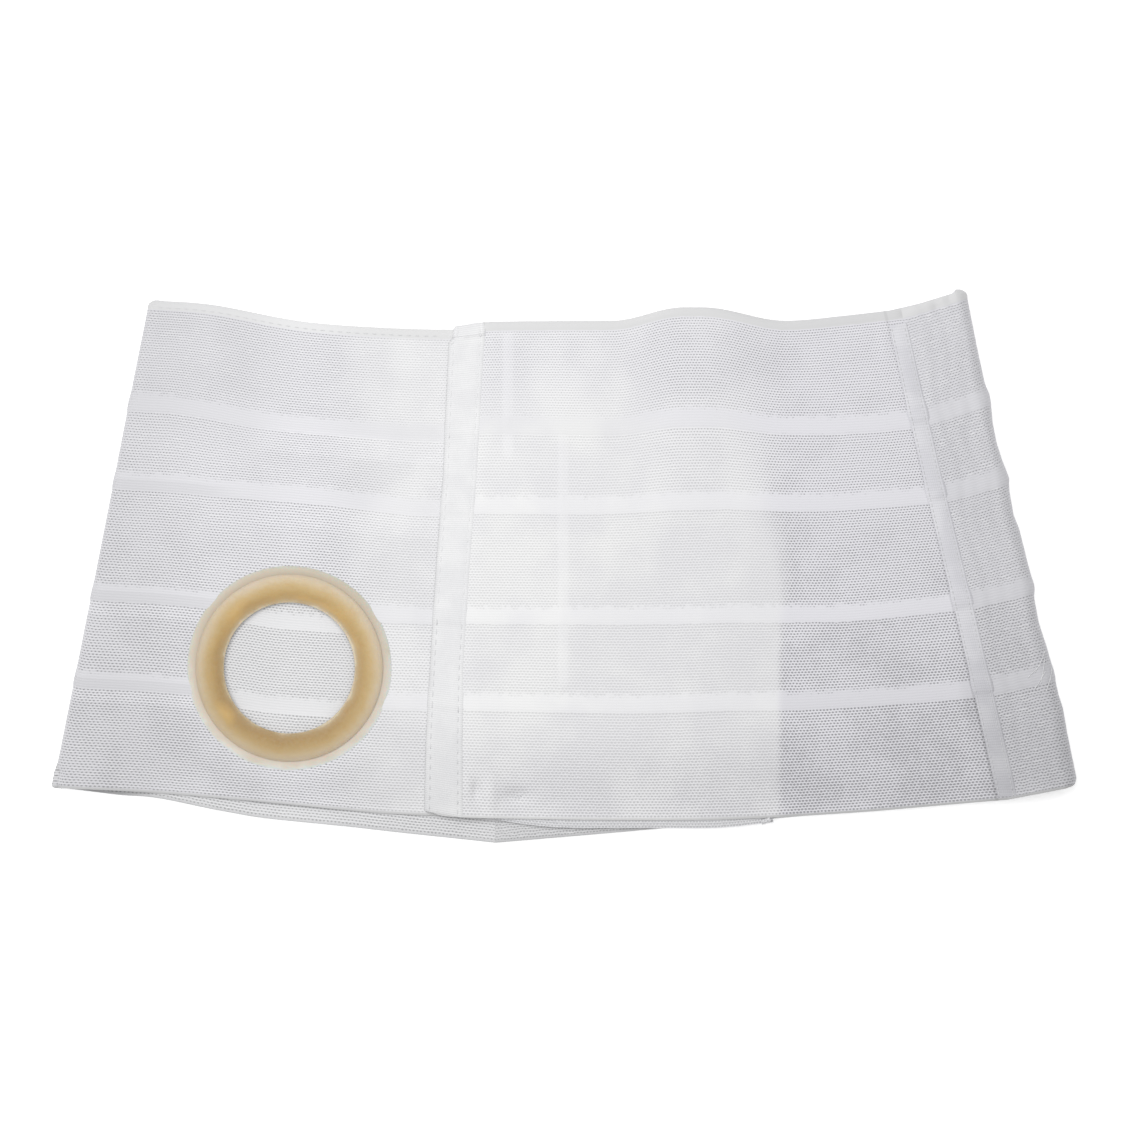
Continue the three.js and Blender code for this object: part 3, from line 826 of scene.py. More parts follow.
def spun_piece(name, profile, steps):
    """A round piece: one closed profile beside the axis, spun all the way about it."""
    bpy.ops.object.select_all(action="DESELECT")
    bpy.ops.mesh.primitive_circle_add(vertices=len(profile), radius=1, fill_type="NOTHING")
    piece = bpy.context.object
    piece.name = piece.data.name = name
    for vertex, point in zip(piece.data.vertices, profile):
        vertex.co = ((RING_X + point.radius) * MM, RING_Y * MM, (LEFT_LEVEL + point.up) * MM)
    bpy.ops.object.mode_set(mode="EDIT")
    bpy.ops.mesh.select_all(action="SELECT")
    bpy.ops.mesh.spin(
        steps=steps,
        angle=math.tau,
        center=(RING_X * MM, RING_Y * MM, 0),
        axis=(0, 0, 1),
    )
    bpy.ops.mesh.select_all(action="SELECT")
    bpy.ops.mesh.remove_doubles(threshold=1e-6)
    bpy.ops.mesh.normals_make_consistent(inside=False)
    bpy.ops.object.mode_set(mode="OBJECT")
    bpy.ops.object.shade_smooth_by_angle(angle=math.radians(40))
    print(name, len(piece.data.polygons), "faces")
    return piece


ring_body = spun_piece("ring_body", RING_PROFILE, 120)
ring_rim = spun_piece("ring_rim", FLANGE_PROFILE, 120)

# %% [markdown]
# ## Stitches
# White thread holds the strip, the seam and the hem. One stitch is a short rounded bar. It is modelled
# once, copied along each line on top of the cloth, and the copies of a line are joined to one piece.

# %% Stitches
STITCH_SIDES = 6


def stitch_shape(length, width, raise_up):
    """A short bar along Y whose ends taper and dive into the cloth."""
    bpy.ops.object.select_all(action="DESELECT")
    bpy.ops.mesh.primitive_cylinder_add(vertices=STITCH_SIDES, radius=0.5, depth=1, rotation=(math.pi / 2, 0, 0))
    stitch = bpy.context.object
    stitch.scale = (width * MM, raise_up * MM, 0.5 * length * MM)
    bpy.ops.object.transform_apply(location=True, rotation=True, scale=True)
    for end in (1, -1):
        bpy.ops.object.mode_set(mode="EDIT")
        bpy.ops.mesh.select_mode(type="FACE")
        bpy.ops.mesh.select_all(action="DESELECT")
        bpy.ops.object.mode_set(mode="OBJECT")
        for face in stitch.data.polygons:
            face.select = face.normal.y * end > 0.9
        bpy.ops.object.mode_set(mode="EDIT")
        reach = (0, end * 0.25 * length * MM, -0.5 * raise_up * MM)
        bpy.ops.mesh.extrude_region_move(TRANSFORM_OT_translate={"value": reach})
        tip = (0, end * 0.5 * length * MM, -0.5 * raise_up * MM)
        bpy.ops.transform.resize(value=(0.4, 0.4, 0.4), center_override=tip)
        bpy.ops.object.mode_set(mode="OBJECT")
    return stitch


def sew(name, lines, pitch, length, width=0.55, raise_up=0.4):
    """Stitches along lines of points in millimetres, each lying along its line."""
    stitch = stitch_shape(length, width, raise_up)
    copies = []
    for line in lines:
        line = np.array(line)
        steps = np.linalg.norm(np.diff(line, axis=0), axis=1)
        reach = np.concatenate([[0], np.cumsum(steps)])
        for at in np.arange(pitch * 0.6, reach[-1] - pitch * 0.4, pitch):
            here, near = (np.array([np.interp(at + d, reach, line[:, k]) for k in range(3)]) for d in (0, 0.5))
            way = near - here
            copy = stitch.copy()
            copy.data = stitch.data.copy()
            copy.location = here * MM
            copy.rotation_euler = (0, 0, math.atan2(-way[0], way[1]))
            bpy.context.collection.objects.link(copy)
            copies.append(copy)
    bpy.data.objects.remove(stitch)
    bpy.ops.object.select_all(action="DESELECT")
    for copy in copies:
        copy.select_set(True)
    bpy.context.view_layer.objects.active = copies[0]
    bpy.ops.object.join()
    piece = bpy.context.object
    piece.name = piece.data.name = name
    bpy.ops.object.transform_apply(location=True, rotation=True, scale=True)
    bpy.ops.object.shade_smooth()
    print(name, len(copies), "stitches")
    return piece


def cloth_line(columns, rows, shape, half, column=None, row=None, lift=0.05):
    """A line on the outside of a cloth, along one of its columns or rows."""
    places = outside(lay_cloth(columns, rows, shape), rows, half)
    line = places[column] if row is None else places[:, row]
    return line + np.array([0, 0, lift])


def near_across(corners, across):
    """The column of a tape at a share of its width, on its upper side."""
    return min(range(len(corners)), key=lambda k: abs(corners[k].across - across) + (corners[k].up < 0))


strip_lines = [
    cloth_line(strip_columns, strip_rows, strip_shape, 0.0, column=near_across(strip_corners, across))
    for across in STITCH_ROWS
]
half_way = next(k for k, r in enumerate(strip_rows) if r.height > 96)
strip_stitches = sew("strip_stitches", [line[:half_way] for line in strip_lines], 4.8, 3.4)
# The upper half of the strip's stitches is sewn in a paler thread: painted light where the strip catches more light.
strip_stitches_high = sew("strip_stitches_high", [line[half_way:] for line in strip_lines], 4.8, 3.4)
tape_lines = [
    cloth_line(tape_columns, tape_rows, tape_shape, 0.0, column=near_across(tape_corners, across))
    for across in (0.8, 0.1)
]
seam_stitches = sew("seam_stitches", tape_lines, 2.6, 1.9, width=0.4, raise_up=0.3)

hem_row = next(k for k, r in enumerate(mesh_rows) if r.height > BELT_HEIGHT - HEM_HEIGHT + 1)
left_hem = cloth_line(left_columns, mesh_rows, left_shape, WALL / 2, row=hem_row)
hem_lines = [left_hem[(left_hem[:, 2] > LEFT_LEVEL) & (left_hem[:, 0] < -58)]]
hem_stitches = sew("hem_stitches", hem_lines, 4.0, 2.4, width=0.4, raise_up=0.3)

# A few loose threads lie over the right fold, each from a column and height to another.
Strand = namedtuple("Strand", "column height far_column far_height")
FOLD_TURN = len(smooth_run([*RIGHT_BACK, right_back_end], BACK_LEVEL)) + 6
STRANDS = [
    Strand(6, 45.0, 2, 55.0),
    Strand(7, 49.0, 4, 60.0),
    Strand(9, 47.0, 5, 54.0),
    Strand(8, 54.5, 3, 63.0),
    Strand(10, 53.0, 6, 57.5),
]
back_places = outside(lay_cloth(back_columns, mesh_rows, back_shape), mesh_rows, WALL / 2)
row_heights = [r.height for r in mesh_rows]


def strand_line(strand, points=9):
    """A line over the cloth between two of its places, read off the grid of the back panel."""
    line = []
    for t in np.linspace(0, 1, points):
        column = FOLD_TURN + strand.column + (strand.far_column - strand.column) * t
        height = strand.height + (strand.far_height - strand.height) * t
        first = int(column)
        near, far = (
            np.array([np.interp(height, row_heights, back_places[c, :, k]) for k in range(3)]) for c in (first, first + 1)
        )
        line.append(near + (far - near) * (column - first) + np.array([0, 0, 0.25]))
    return line


loose_threads = sew("loose_threads", [strand_line(s) for s in STRANDS], 0.9, 1.2, width=0.3, raise_up=0.3)

# %% [markdown]
# ## Finishes
# Every finish is made of nodes. The mesh is the main one: rows of small openings, each row moved by half
# a step against the next, in a knit of fine white thread. The openings are partly clear to the light, so
# what lies behind the cloth shows through a little, and the rest is painted. Over the flap the openings
# are closed and the thread is painted paler, a painted light from the flap behind. Over the empty loop
# the openings are painted dark, a painted shade.

# %% Helpers for node trees


def new_finish(name):
    finish = bpy.data.materials.new(name)
    finish.use_nodes = True
    return finish, finish.node_tree, finish.node_tree.nodes["Principled BSDF"]


def feed(tree, socket, value):
    if isinstance(value, bpy.types.NodeSocket):
        tree.links.new(value, socket)
    else:
        socket.default_value = value


def calc(tree, operation, *values):
    node = tree.nodes.new("ShaderNodeMath")
    node.operation = operation
    for socket, value in zip(node.inputs, values):
        feed(tree, socket, value)
    return node.outputs[0]


def ranged(tree, value, low, high, to_low=0.0, to_high=1.0):
    node = tree.nodes.new("ShaderNodeMapRange")
    node.interpolation_type = "SMOOTHSTEP"
    for name, given in zip(("Value", "From Min", "From Max", "To Min", "To Max"), (value, low, high, to_low, to_high)):
        feed(tree, node.inputs[name], given)
    return node.outputs["Result"]


def blend_colours(tree, share, first, second):
    node = tree.nodes.new("ShaderNodeMix")
    node.data_type = "RGBA"
    feed(tree, node.inputs[0], share)
    feed(tree, node.inputs[6], first)
    feed(tree, node.inputs[7], second)
    return node.outputs[2]


def ramp(tree, value, low, high, stops):
    """Colours along a value. Each stop has its own value and its colour."""
    node = tree.nodes.new("ShaderNodeValToRGB")
    while len(node.color_ramp.elements) < len(stops):
        node.color_ramp.elements.new(1.0)
    for element, (at, colour) in zip(node.color_ramp.elements, stops):
        element.position = (at - low) / (high - low)
        element.color = colour
    share = tree.nodes.new("ShaderNodeMapRange")
    for name, given in zip(("Value", "From Min", "From Max"), (value, low, high)):
        feed(tree, share.inputs[name], given)
    tree.links.new(share.outputs["Result"], node.inputs["Fac"])
    return node.outputs["Color"]


def noise(tree, place, scale, detail=2.0):
    node = tree.nodes.new("ShaderNodeTexNoise")
    node.inputs["Scale"].default_value = scale
    node.inputs["Detail"].default_value = detail
    tree.links.new(place, node.inputs["Vector"])
    return node.outputs["Fac"]


def raise_surface(tree, shader, height, depth, strength=1.0):
    node = tree.nodes.new("ShaderNodeBump")
    node.inputs["Strength"].default_value = strength
    node.inputs["Distance"].default_value = depth
    tree.links.new(height, node.inputs["Height"])
    tree.links.new(node.outputs["Normal"], shader.inputs["Normal"])


def cloth_map(tree):
    """How far along and up the cloth, in millimetres."""
    node = tree.nodes.new("ShaderNodeUVMap")
    node.uv_map = "weave"
    parts = tree.nodes.new("ShaderNodeSeparateXYZ")
    tree.links.new(node.outputs["UV"], parts.inputs["Vector"])
    return calc(tree, "MULTIPLY", parts.outputs["X"], MAP_SPAN), calc(tree, "MULTIPLY", parts.outputs["Y"], MAP_SPAN)


def object_place(tree):
    return tree.nodes.new("ShaderNodeTexCoord").outputs["Object"]


# %% Mesh elastic
ROWS_PER_MM, ROWS_MORE = 0.763, 0.000216

FLAP_END, FLAP_EDGE = 99.5, 40.0
EDGE_LOW, EDGE_OUT, EDGE_IN = 3.0, 9.0, 30.0


def places(tree, place):
    """X, Y and Z in millimetres."""
    parts = tree.nodes.new("ShaderNodeSeparateXYZ")
    tree.links.new(place, parts.inputs["Vector"])
    return [calc(tree, "DIVIDE", parts.outputs[axis], MM) for axis in "XYZ"]


def product(tree, *values):
    total = values[0]
    for value in values[1:]:
        total = calc(tree, "MULTIPLY", total, value)
    return total


def darkened(tree, colour, share):
    """The colour times a share."""
    node = tree.nodes.new("ShaderNodeMix")
    node.data_type, node.blend_type = "RGBA", "MULTIPLY"
    for socket, value in zip((0, 6, 7), (1.0, colour, share)):
        feed(tree, node.inputs[socket], value)
    return node.outputs[2]


def over_flap(tree, x, y):
    """1 where the flap lies behind the right panel, so that its loops fill the openings. There the thread is
    painted paler, a painted light from the flap behind the mesh. The flap's end comes away from the mesh
    towards the top, so its edge is softer and paler there. The mask is weaker towards the lower edge and
    across the middle, which leaves painted shade there."""
    soft_out = ranged(tree, y, -40.0, 0.0, -EDGE_LOW, -EDGE_OUT)
    soft_in = ranged(tree, y, -20.0, 80.0, EDGE_LOW, EDGE_IN)
    near_end = ranged(tree, calc(tree, "SUBTRACT", FLAP_END, x), soft_out, soft_in)
    touching_top = ranged(tree, y, 55.0, 105.0, 1.0, 0.5)
    touching_low = ranged(tree, y, -62.0, -112.0, 1.0, 0.68)
    apart = calc(tree, "MULTIPLY", ranged(tree, x, 22.0, 52.0), ranged(tree, y, 0.0, 75.0, 0.1, 0.42))
    return product(tree, near_end, touching_top, touching_low, calc(tree, "SUBTRACT", 1.0, apart))


def patch_edges(tree, x, y):
    """1 along the sewn right side of the hook patch, which shows as a paler stripe."""
    low = calc(tree, "MULTIPLY", ranged(tree, y, -60.0, -52.0), ranged(tree, y, 64.0, 58.0))
    top = calc(tree, "MULTIPLY", ranged(tree, y, 46.0, 54.0), ranged(tree, y, 112.0, 104.0))
    stripes = []
    for middle, along in ((-1.0, low), (-26.5, top)):
        off = calc(tree, "ABSOLUTE", calc(tree, "SUBTRACT", x, middle))
        stripes.append(calc(tree, "MULTIPLY", ranged(tree, off, 4.0, 0.8), along))
    return calc(tree, "MAXIMUM", *stripes)


SEAM_LEAN = (TAPE_TOP[0][0] - TAPE_LOW[0][0]) / (TAPE_TOP[0][1] - TAPE_LOW[0][1])
SEAM_START = TAPE_LOW[0][0] - SEAM_LEAN * TAPE_LOW[0][1]
CREASE_OFF = 0.5


def seam_shade_line(tree, x, y):
    """The right panel is drawn down along the side seam; the dark line beside the tape and the darker band around it
    are painted shade.
    """
    seam_x = calc(tree, "MULTIPLY_ADD", y, SEAM_LEAN, SEAM_START - CREASE_OFF)
    off = calc(tree, "ABSOLUTE", calc(tree, "SUBTRACT", x, seam_x))
    line = ranged(tree, ranged(tree, off, 1.1, 0.3), 0.0, 1.0, 1.0, ranged(tree, y, -100.0, 40.0, 0.78, 0.91))
    dip = calc(tree, "MULTIPLY", ranged(tree, off, 10.0, 1.0), ranged(tree, y, -15.0, -75.0))
    return calc(tree, "MULTIPLY", line, ranged(tree, dip, 0.0, 1.0, 1.0, 0.91))


Cloud = namedtuple("Cloud", "x wide up high tone")


def shaded_patch(tree, x, up, shade_patch):
    """A patch of painted shade or painted light on the cloth, strongest at its middle and running out to all sides."""
    off_x = calc(tree, "ABSOLUTE", calc(tree, "SUBTRACT", x, shade_patch.x))
    off_up = calc(tree, "ABSOLUTE", calc(tree, "SUBTRACT", up, shade_patch.up))
    across = ranged(tree, off_x, shade_patch.wide, shade_patch.wide / 2)
    inside = calc(tree, "MULTIPLY", across, ranged(tree, off_up, shade_patch.high, shade_patch.high / 2))
    return ranged(tree, inside, 0.0, 1.0, 1.0, shade_patch.tone)


def attribute(tree, name):
    node = tree.nodes.new("ShaderNodeAttribute")
    node.attribute_name = name
    return node.outputs["Fac"]


def mesh_elastic(name, elastic):
    """The mesh of one panel, with its openings and rows as they are stretched there."""
    finish, tree, shader = new_finish(name)
    along, up = cloth_map(tree)
    place = object_place(tree)
    x, y, z = places(tree, place)
    wander = noise(tree, place, 420.0, 1.0)
    patchy = noise(tree, place, 34.0, 2.0)
    closer_up = calc(tree, "ADD", calc(tree, "MULTIPLY", up, ROWS_MORE), ROWS_PER_MM)
    row = calc(tree, "ADD", calc(tree, "MULTIPLY", up, closer_up), calc(tree, "MULTIPLY", wander, elastic.wavy))
    shift = calc(tree, "FRACT", calc(tree, "MULTIPLY", calc(tree, "FLOOR", row), 0.5))
    step = calc(tree, "ADD", calc(tree, "DIVIDE", along, elastic.pitch), shift)
    from_middle_x = calc(tree, "ABSOLUTE", calc(tree, "SUBTRACT", calc(tree, "FRACT", step), 0.5))
    from_middle_y = calc(tree, "ABSOLUTE", calc(tree, "SUBTRACT", calc(tree, "FRACT", row), 0.5))
    # The openings grow towards the lower edge, where the cloth is more stretched; with their painted dark this is also
    # a painted shade falloff towards the lower edge.
    stretch = ranged(tree, up, 20.0, BELT_HEIGHT, 1.2 * elastic.openness, 0.8 * elastic.openness)
    stretch = product(tree, stretch, ranged(tree, wander, 0.3, 0.7, 0.9, 1.1), ranged(tree, patchy, 0.35, 0.65, 0.9, 1.08))
    square_x = calc(tree, "POWER", calc(tree, "DIVIDE", from_middle_x, elastic.hole_wide), 2.0)
    square_y = calc(tree, "POWER", calc(tree, "DIVIDE", from_middle_y, elastic.hole_high), 2.0)
    reach = calc(tree, "DIVIDE", calc(tree, "SQRT", calc(tree, "ADD", square_x, square_y)), stretch)

    close = calc(tree, "ADD", attribute(tree, "close"), ranged(tree, wander, 0.3, 0.7, -0.25, 0.25))
    is_mesh = ranged(tree, close, 0.85, 0.15)
    is_hem = ranged(tree, close, 1.3, 1.7)
    facing = tree.nodes.new("ShaderNodeSeparateXYZ")
    tree.links.new(tree.nodes.new("ShaderNodeTexCoord").outputs["Normal"], facing.inputs["Vector"])
    flat = ranged(tree, calc(tree, "ABSOLUTE", facing.outputs["Z"]), 0.45, 0.8)
    # The layer on the table is painted with a paler thread and fewer open holes: painted light against the shade
    # inside the flattened tube.
    on_table = ranged(tree, attribute(tree, "level"), 8.0, 5.0)
    if elastic.has_flap:
        painted_backing = over_flap(tree, x, y)
        rough = ranged(tree, patch_edges(tree, x, y), 0.0, 1.0, 1.0, 0.5)
        edge_shade = ranged(tree, x, FLAP_EDGE, FLAP_END, 0.96, EDGE_SHADE)
    else:
        # Beside the strip the left panel is painted paler and given fewer open holes, as if backed, though no flap
        # lies behind it there: painted light.
        painted_backing = calc(tree, "MULTIPLY", ranged(tree, x, *elastic.lined_from), calc(tree, "SUBTRACT", 1.0, on_table))
        rough = 1.0
        edge_shade = EDGE_SHADE
    hole = product(tree, ranged(tree, reach, 1.35, 0.55), is_mesh, flat, rough)
    groove = product(tree, ranged(tree, from_middle_y, 0.42, 0.05), ranged(tree, is_mesh, 0.0, 1.0, 0.5, 1.0), rough)
    groove = calc(tree, "MULTIPLY", groove, calc(tree, "SUBTRACT", 1.0, is_hem))

    fuzz = noise(tree, place, 2600.0, 2.0)
    height = calc(tree, "SUBTRACT", calc(tree, "MULTIPLY", fuzz, 0.3), calc(tree, "MULTIPLY", groove, 0.6))
    height = calc(tree, "SUBTRACT", height, calc(tree, "MULTIPLY", hole, 0.4))
    raise_surface(tree, shader, height, 0.0003, 0.5)

    # Where the backing mask is set, the thread is painted paler: painted light from what lies behind.
    thread = blend_colours(tree, painted_backing, elastic.tone, (0.765, 0.765, 0.765, 1))
    hazy = tuple(0.93 * part for part in elastic.tone[:3]) + (1,)
    thread = blend_colours(tree, ranged(tree, patchy, 0.35, 0.65, 0.0, 0.4), thread, hazy)
    banded = tuple(elastic.band_share * part for part in elastic.tone[:3]) + (1,)
    is_plain_band = calc(tree, "MULTIPLY", calc(tree, "SUBTRACT", 1.0, is_mesh), calc(tree, "SUBTRACT", 1.0, painted_backing))
    thread = blend_colours(tree, is_plain_band, thread, banded)
    hem = blend_colours(tree, painted_backing, elastic.hem, (0.665, 0.665, 0.665, 1))
    thread = blend_colours(tree, is_hem, thread, hem)
    thread = blend_colours(tree, on_table, thread, (0.675, 0.675, 0.685, 1))
    # Knots between the openings are painted paler: painted highlights on the raised thread.
    knots = calc(tree, "MULTIPLY", ranged(tree, wander, 0.52, 0.68), ranged(tree, from_middle_y, 0.2, 0.45))
    thread = blend_colours(tree, product(tree, knots, is_mesh, 0.35), thread, (0.84, 0.84, 0.84, 1))
    # The grooves along the rows are painted darker, weaker where backed: painted shade.
    groove_shade = calc(tree, "MULTIPLY", groove, ranged(tree, painted_backing, 0.0, 1.0, elastic.lines, 0.075))
    colour = blend_colours(tree, groove_shade, thread, (0, 0, 0, 1))
    # The openings are painted almost black, weak where backed: painted shade of the hollow behind them.
    hole_shade = calc(tree, "MULTIPLY", hole, ranged(tree, painted_backing, 0.0, 1.0, elastic.dots, 0.13))
    colour = blend_colours(tree, hole_shade, colour, (0, 0, 0.01, 1))
    # Painted shade: the lowest rows are darkened, only a little over the flap left of x = 40 mm.
    shades = [ranged(tree, up, 0.9, 1.7, edge_shade, 1.0)]
    shades += [ranged(tree, x if s.way == "x" else up, *s[1:]) for s in elastic.shades]
    # Painted shade on the top band where backed, and on the lowest band.
    in_top_band = product(tree, calc(tree, "SUBTRACT", 1.0, is_mesh), painted_backing, ranged(tree, up, 160.0, 176.0))
    shades.append(ranged(tree, in_top_band, 0.0, 1.0, 1.0, 0.955))
    in_low_band = calc(tree, "MULTIPLY", is_plain_band, ranged(tree, up, 74.0, 66.0))
    shades.append(ranged(tree, in_low_band, 0.0, 1.0, 1.0, elastic.low_band))
    shades += [shaded_patch(tree, x, up, shade_patch) for shade_patch in elastic.clouds]
    if elastic.has_flap:
        shades.append(seam_shade_line(tree, x, y))
    tree.links.new(darkened(tree, colour, product(tree, *shades)), shader.inputs["Base Color"])
    backed = calc(tree, "MAXIMUM", painted_backing, calc(tree, "MULTIPLY", on_table, 0.2))
    open_share = ranged(tree, backed, 0.0, 1.0, 0.32, 0.0)
    tree.links.new(calc(tree, "SUBTRACT", 1.0, calc(tree, "MULTIPLY", hole, open_share)), shader.inputs["Alpha"])
    tree.links.new(ranged(tree, fuzz, 0.3, 0.7, 0.82, 0.95), shader.inputs["Roughness"])
    shader.inputs["Sheen Weight"].default_value = 0.1
    shader.inputs["Specular IOR Level"].default_value = 0.2
    return finish


Elastic = namedtuple(
    "Elastic", "cloth openness pitch hole_wide hole_high lines dots wavy tone band_share low_band hem has_flap lined_from shades clouds"
)
NOWHERE = (900.0, 901.0)
BESIDE_STRIP = (-118.0, -74.0, 0.0, 0.72)
EDGE_SHADE = 0.82
# Painted shade and painted light: each panel's colour is scaled along x or up the cloth, standing in for the lamp's
# falloff.
Shade = namedtuple("Shade", "way low high at_low at_high")
LEFT_PAINTED_FALLOFF = [
    Shade("x", -215.0, -150.0, 0.905, 1.0),
    Shade("x", -150.0, -120.0, 1.0, 1.04),
    Shade("x", -115.0, -92.0, 1.0, 0.962),
]
# Painted shade on the lower half of the left bands near the fold and at the upper left; painted light just below those
# bands and beside the strip.
LEFT_SHADE_PATCHES = [Cloud(-205.0, 62.0, middle - 1.7, 3.2, 0.94) for middle in BANDS[:3]]
LEFT_SHADE_PATCHES += [Cloud(-205.0, 62.0, middle - 7.5, 4.0, 1.06) for middle in BANDS[:2]]
LEFT_SHADE_PATCHES += [
    Cloud(-200.0, 80.0, 228.0, 78.0, 0.955),
    Cloud(-95.0, 60.0, 171.5, 8.0, 1.04),
    Cloud(-95.0, 60.0, 136.0, 8.0, 1.03),
]
BACK_PAINTED_FALLOFF = [Shade("up", 10.0, 120.0, 0.92, 1.02), Shade("up", 120.0, 200.0, 1.0, 1.04)]
# The panels are one cloth; their different thread tones are painted light and painted shade from panel to panel.
LEFT_TONE, BACK_TONE, RIGHT_TONE = (0.675, 0.672, 0.697, 1), (0.635, 0.632, 0.66, 1), (0.715, 0.71, 0.745, 1)
# The hems are painted greyer than the thread: painted shade where the rolled hem turns away from the light.
LEFT_HEM, RIGHT_HEM = (0.65, 0.65, 0.655, 1), (0.61, 0.61, 0.615, 1)
for elastic in (
    Elastic(left_cloth, 0.88, 1.6, 0.27, 0.25, 0.15, 0.25, 0.4, LEFT_TONE, 0.965, 1.0, LEFT_HEM, False, BESIDE_STRIP, LEFT_PAINTED_FALLOFF, LEFT_SHADE_PATCHES),
    Elastic(back_cloth, 0.88, 1.5, 0.26, 0.25, 0.15, 0.19, 0.9, BACK_TONE, 0.96, 1.0, RIGHT_HEM, False, NOWHERE, BACK_PAINTED_FALLOFF, []),
    Elastic(right_cloth, 1.1, 1.5, 0.26, 0.27, 0.12, 0.34, 0.35, RIGHT_TONE, 0.965, 0.945, RIGHT_HEM, True, NOWHERE, [], []),
):
    mesh_finish = mesh_elastic("mesh_" + elastic.cloth.name, elastic)
    elastic.cloth.data.materials.clear()
    elastic.cloth.data.materials.append(mesh_finish)
    print(mesh_finish.name, len(mesh_finish.node_tree.nodes), "nodes")

# %% Woven tape, loop cloth, hooks and thread


def woven_tape(name, pale, shade, rib_pitch, thread_pitch, painted_low_shade):
    """Plain tape: threads across it, crossed by finer threads along it."""
    finish, tree, shader = new_finish(name)
    along, up = cloth_map(tree)
    place = object_place(tree)
    rib = calc(tree, "ABSOLUTE", calc(tree, "SUBTRACT", calc(tree, "FRACT", calc(tree, "DIVIDE", up, rib_pitch)), 0.5))
    cross = calc(tree, "ABSOLUTE", calc(tree, "SUBTRACT", calc(tree, "FRACT", calc(tree, "DIVIDE", along, thread_pitch)), 0.5))
    fuzz = noise(tree, place, 2200.0, 2.0)
    height = calc(tree, "ADD", calc(tree, "ADD", rib, cross), calc(tree, "MULTIPLY", fuzz, 0.5))
    raise_surface(tree, shader, height, 0.0002, 0.6)
    cloudy = noise(tree, place, 70.0, 3.0)
    colour = blend_colours(tree, ranged(tree, cloudy, 0.35, 0.65), shade, pale)
    dark = tuple(0.8 * part for part in shade[:3]) + (1,)
    colour = blend_colours(tree, calc(tree, "MULTIPLY", ranged(tree, rib, 0.3, 0.0), 0.45), colour, dark)
    # Painted shade: the tape darkens towards its lower end.
    colour = darkened(tree, colour, ranged(tree, up, 8.0, 105.0, painted_low_shade, 1.0))
    tree.links.new(colour, shader.inputs["Base Color"])
    tree.links.new(ranged(tree, fuzz, 0.3, 0.7, 0.78, 0.92), shader.inputs["Roughness"])
    shader.inputs["Sheen Weight"].default_value = 0.1
    shader.inputs["Specular IOR Level"].default_value = 0.25
    return finish


def loop_cloth():
    """Elastic knit like the panels, without openings, under an uneven nap."""
    finish, tree, shader = new_finish("loop_cloth")
    place = object_place(tree)
    along, up = cloth_map(tree)
    row = calc(tree, "DIVIDE", up, 1.25)
    shift = calc(tree, "FRACT", calc(tree, "MULTIPLY", calc(tree, "FLOOR", row), 0.5))
    step = calc(tree, "ADD", calc(tree, "DIVIDE", along, 1.5), shift)
    dash = ranged(tree, calc(tree, "ABSOLUTE", calc(tree, "SUBTRACT", calc(tree, "FRACT", step), 0.5)), 0.35, 0.2)
    rib = ranged(tree, calc(tree, "ABSOLUTE", calc(tree, "SUBTRACT", calc(tree, "FRACT", row), 0.5)), 0.4, 0.1)
    nap = noise(tree, place, 1400.0, 4.0)
    height = calc(tree, "SUBTRACT", nap, calc(tree, "MULTIPLY", rib, 0.8))
    raise_surface(tree, shader, height, 0.0004, 0.6)
    pale = blend_colours(tree, ranged(tree, nap, 0.3, 0.7), (0.60, 0.60, 0.615, 1), (0.72, 0.72, 0.735, 1))
    colour = blend_colours(tree, product(tree, rib, dash, 0.6), pale, (0.34, 0.34, 0.355, 1))
    tree.links.new(colour, shader.inputs["Base Color"])
    tree.links.new(ranged(tree, nap, 0.3, 0.7, 0.98, 0.88), shader.inputs["Roughness"])
    shader.inputs["Sheen Weight"].default_value = 0.15
    return finish


def hook_tape():
    """Moulded hooks in close rows."""
    finish, tree, shader = new_finish("hook_tape")
    dots = tree.nodes.new("ShaderNodeTexVoronoi")
    dots.inputs["Scale"].default_value = 900.0
    dots.inputs["Randomness"].default_value = 0.2
    tree.links.new(object_place(tree), dots.inputs["Vector"])
    bead = ranged(tree, dots.outputs["Distance"], 0.55, 0.1)
    raise_surface(tree, shader, bead, 0.0004, 0.8)
    colour = blend_colours(tree, bead, (0.74, 0.74, 0.74, 1), (0.90, 0.90, 0.90, 1))
    tree.links.new(colour, shader.inputs["Base Color"])
    tree.links.new(ranged(tree, bead, 0, 1, 0.6, 0.45), shader.inputs["Roughness"])
    return finish


def sewing_thread(name, pale, shade):
    """Twisted thread: fine slanted lines."""
    finish, tree, shader = new_finish(name)
    twist = tree.nodes.new("ShaderNodeTexWave")
    twist.bands_direction = "DIAGONAL"
    twist.inputs["Scale"].default_value = 900.0
    twist.inputs["Distortion"].default_value = 1.0
    tree.links.new(object_place(tree), twist.inputs["Vector"])
    raise_surface(tree, shader, twist.outputs["Fac"], 0.0001, 0.5)
    colour = blend_colours(tree, twist.outputs["Fac"], shade, pale)
    tree.links.new(colour, shader.inputs["Base Color"])
    tree.links.new(ranged(tree, twist.outputs["Fac"], 0, 1, 0.75, 0.6), shader.inputs["Roughness"])
    return finish


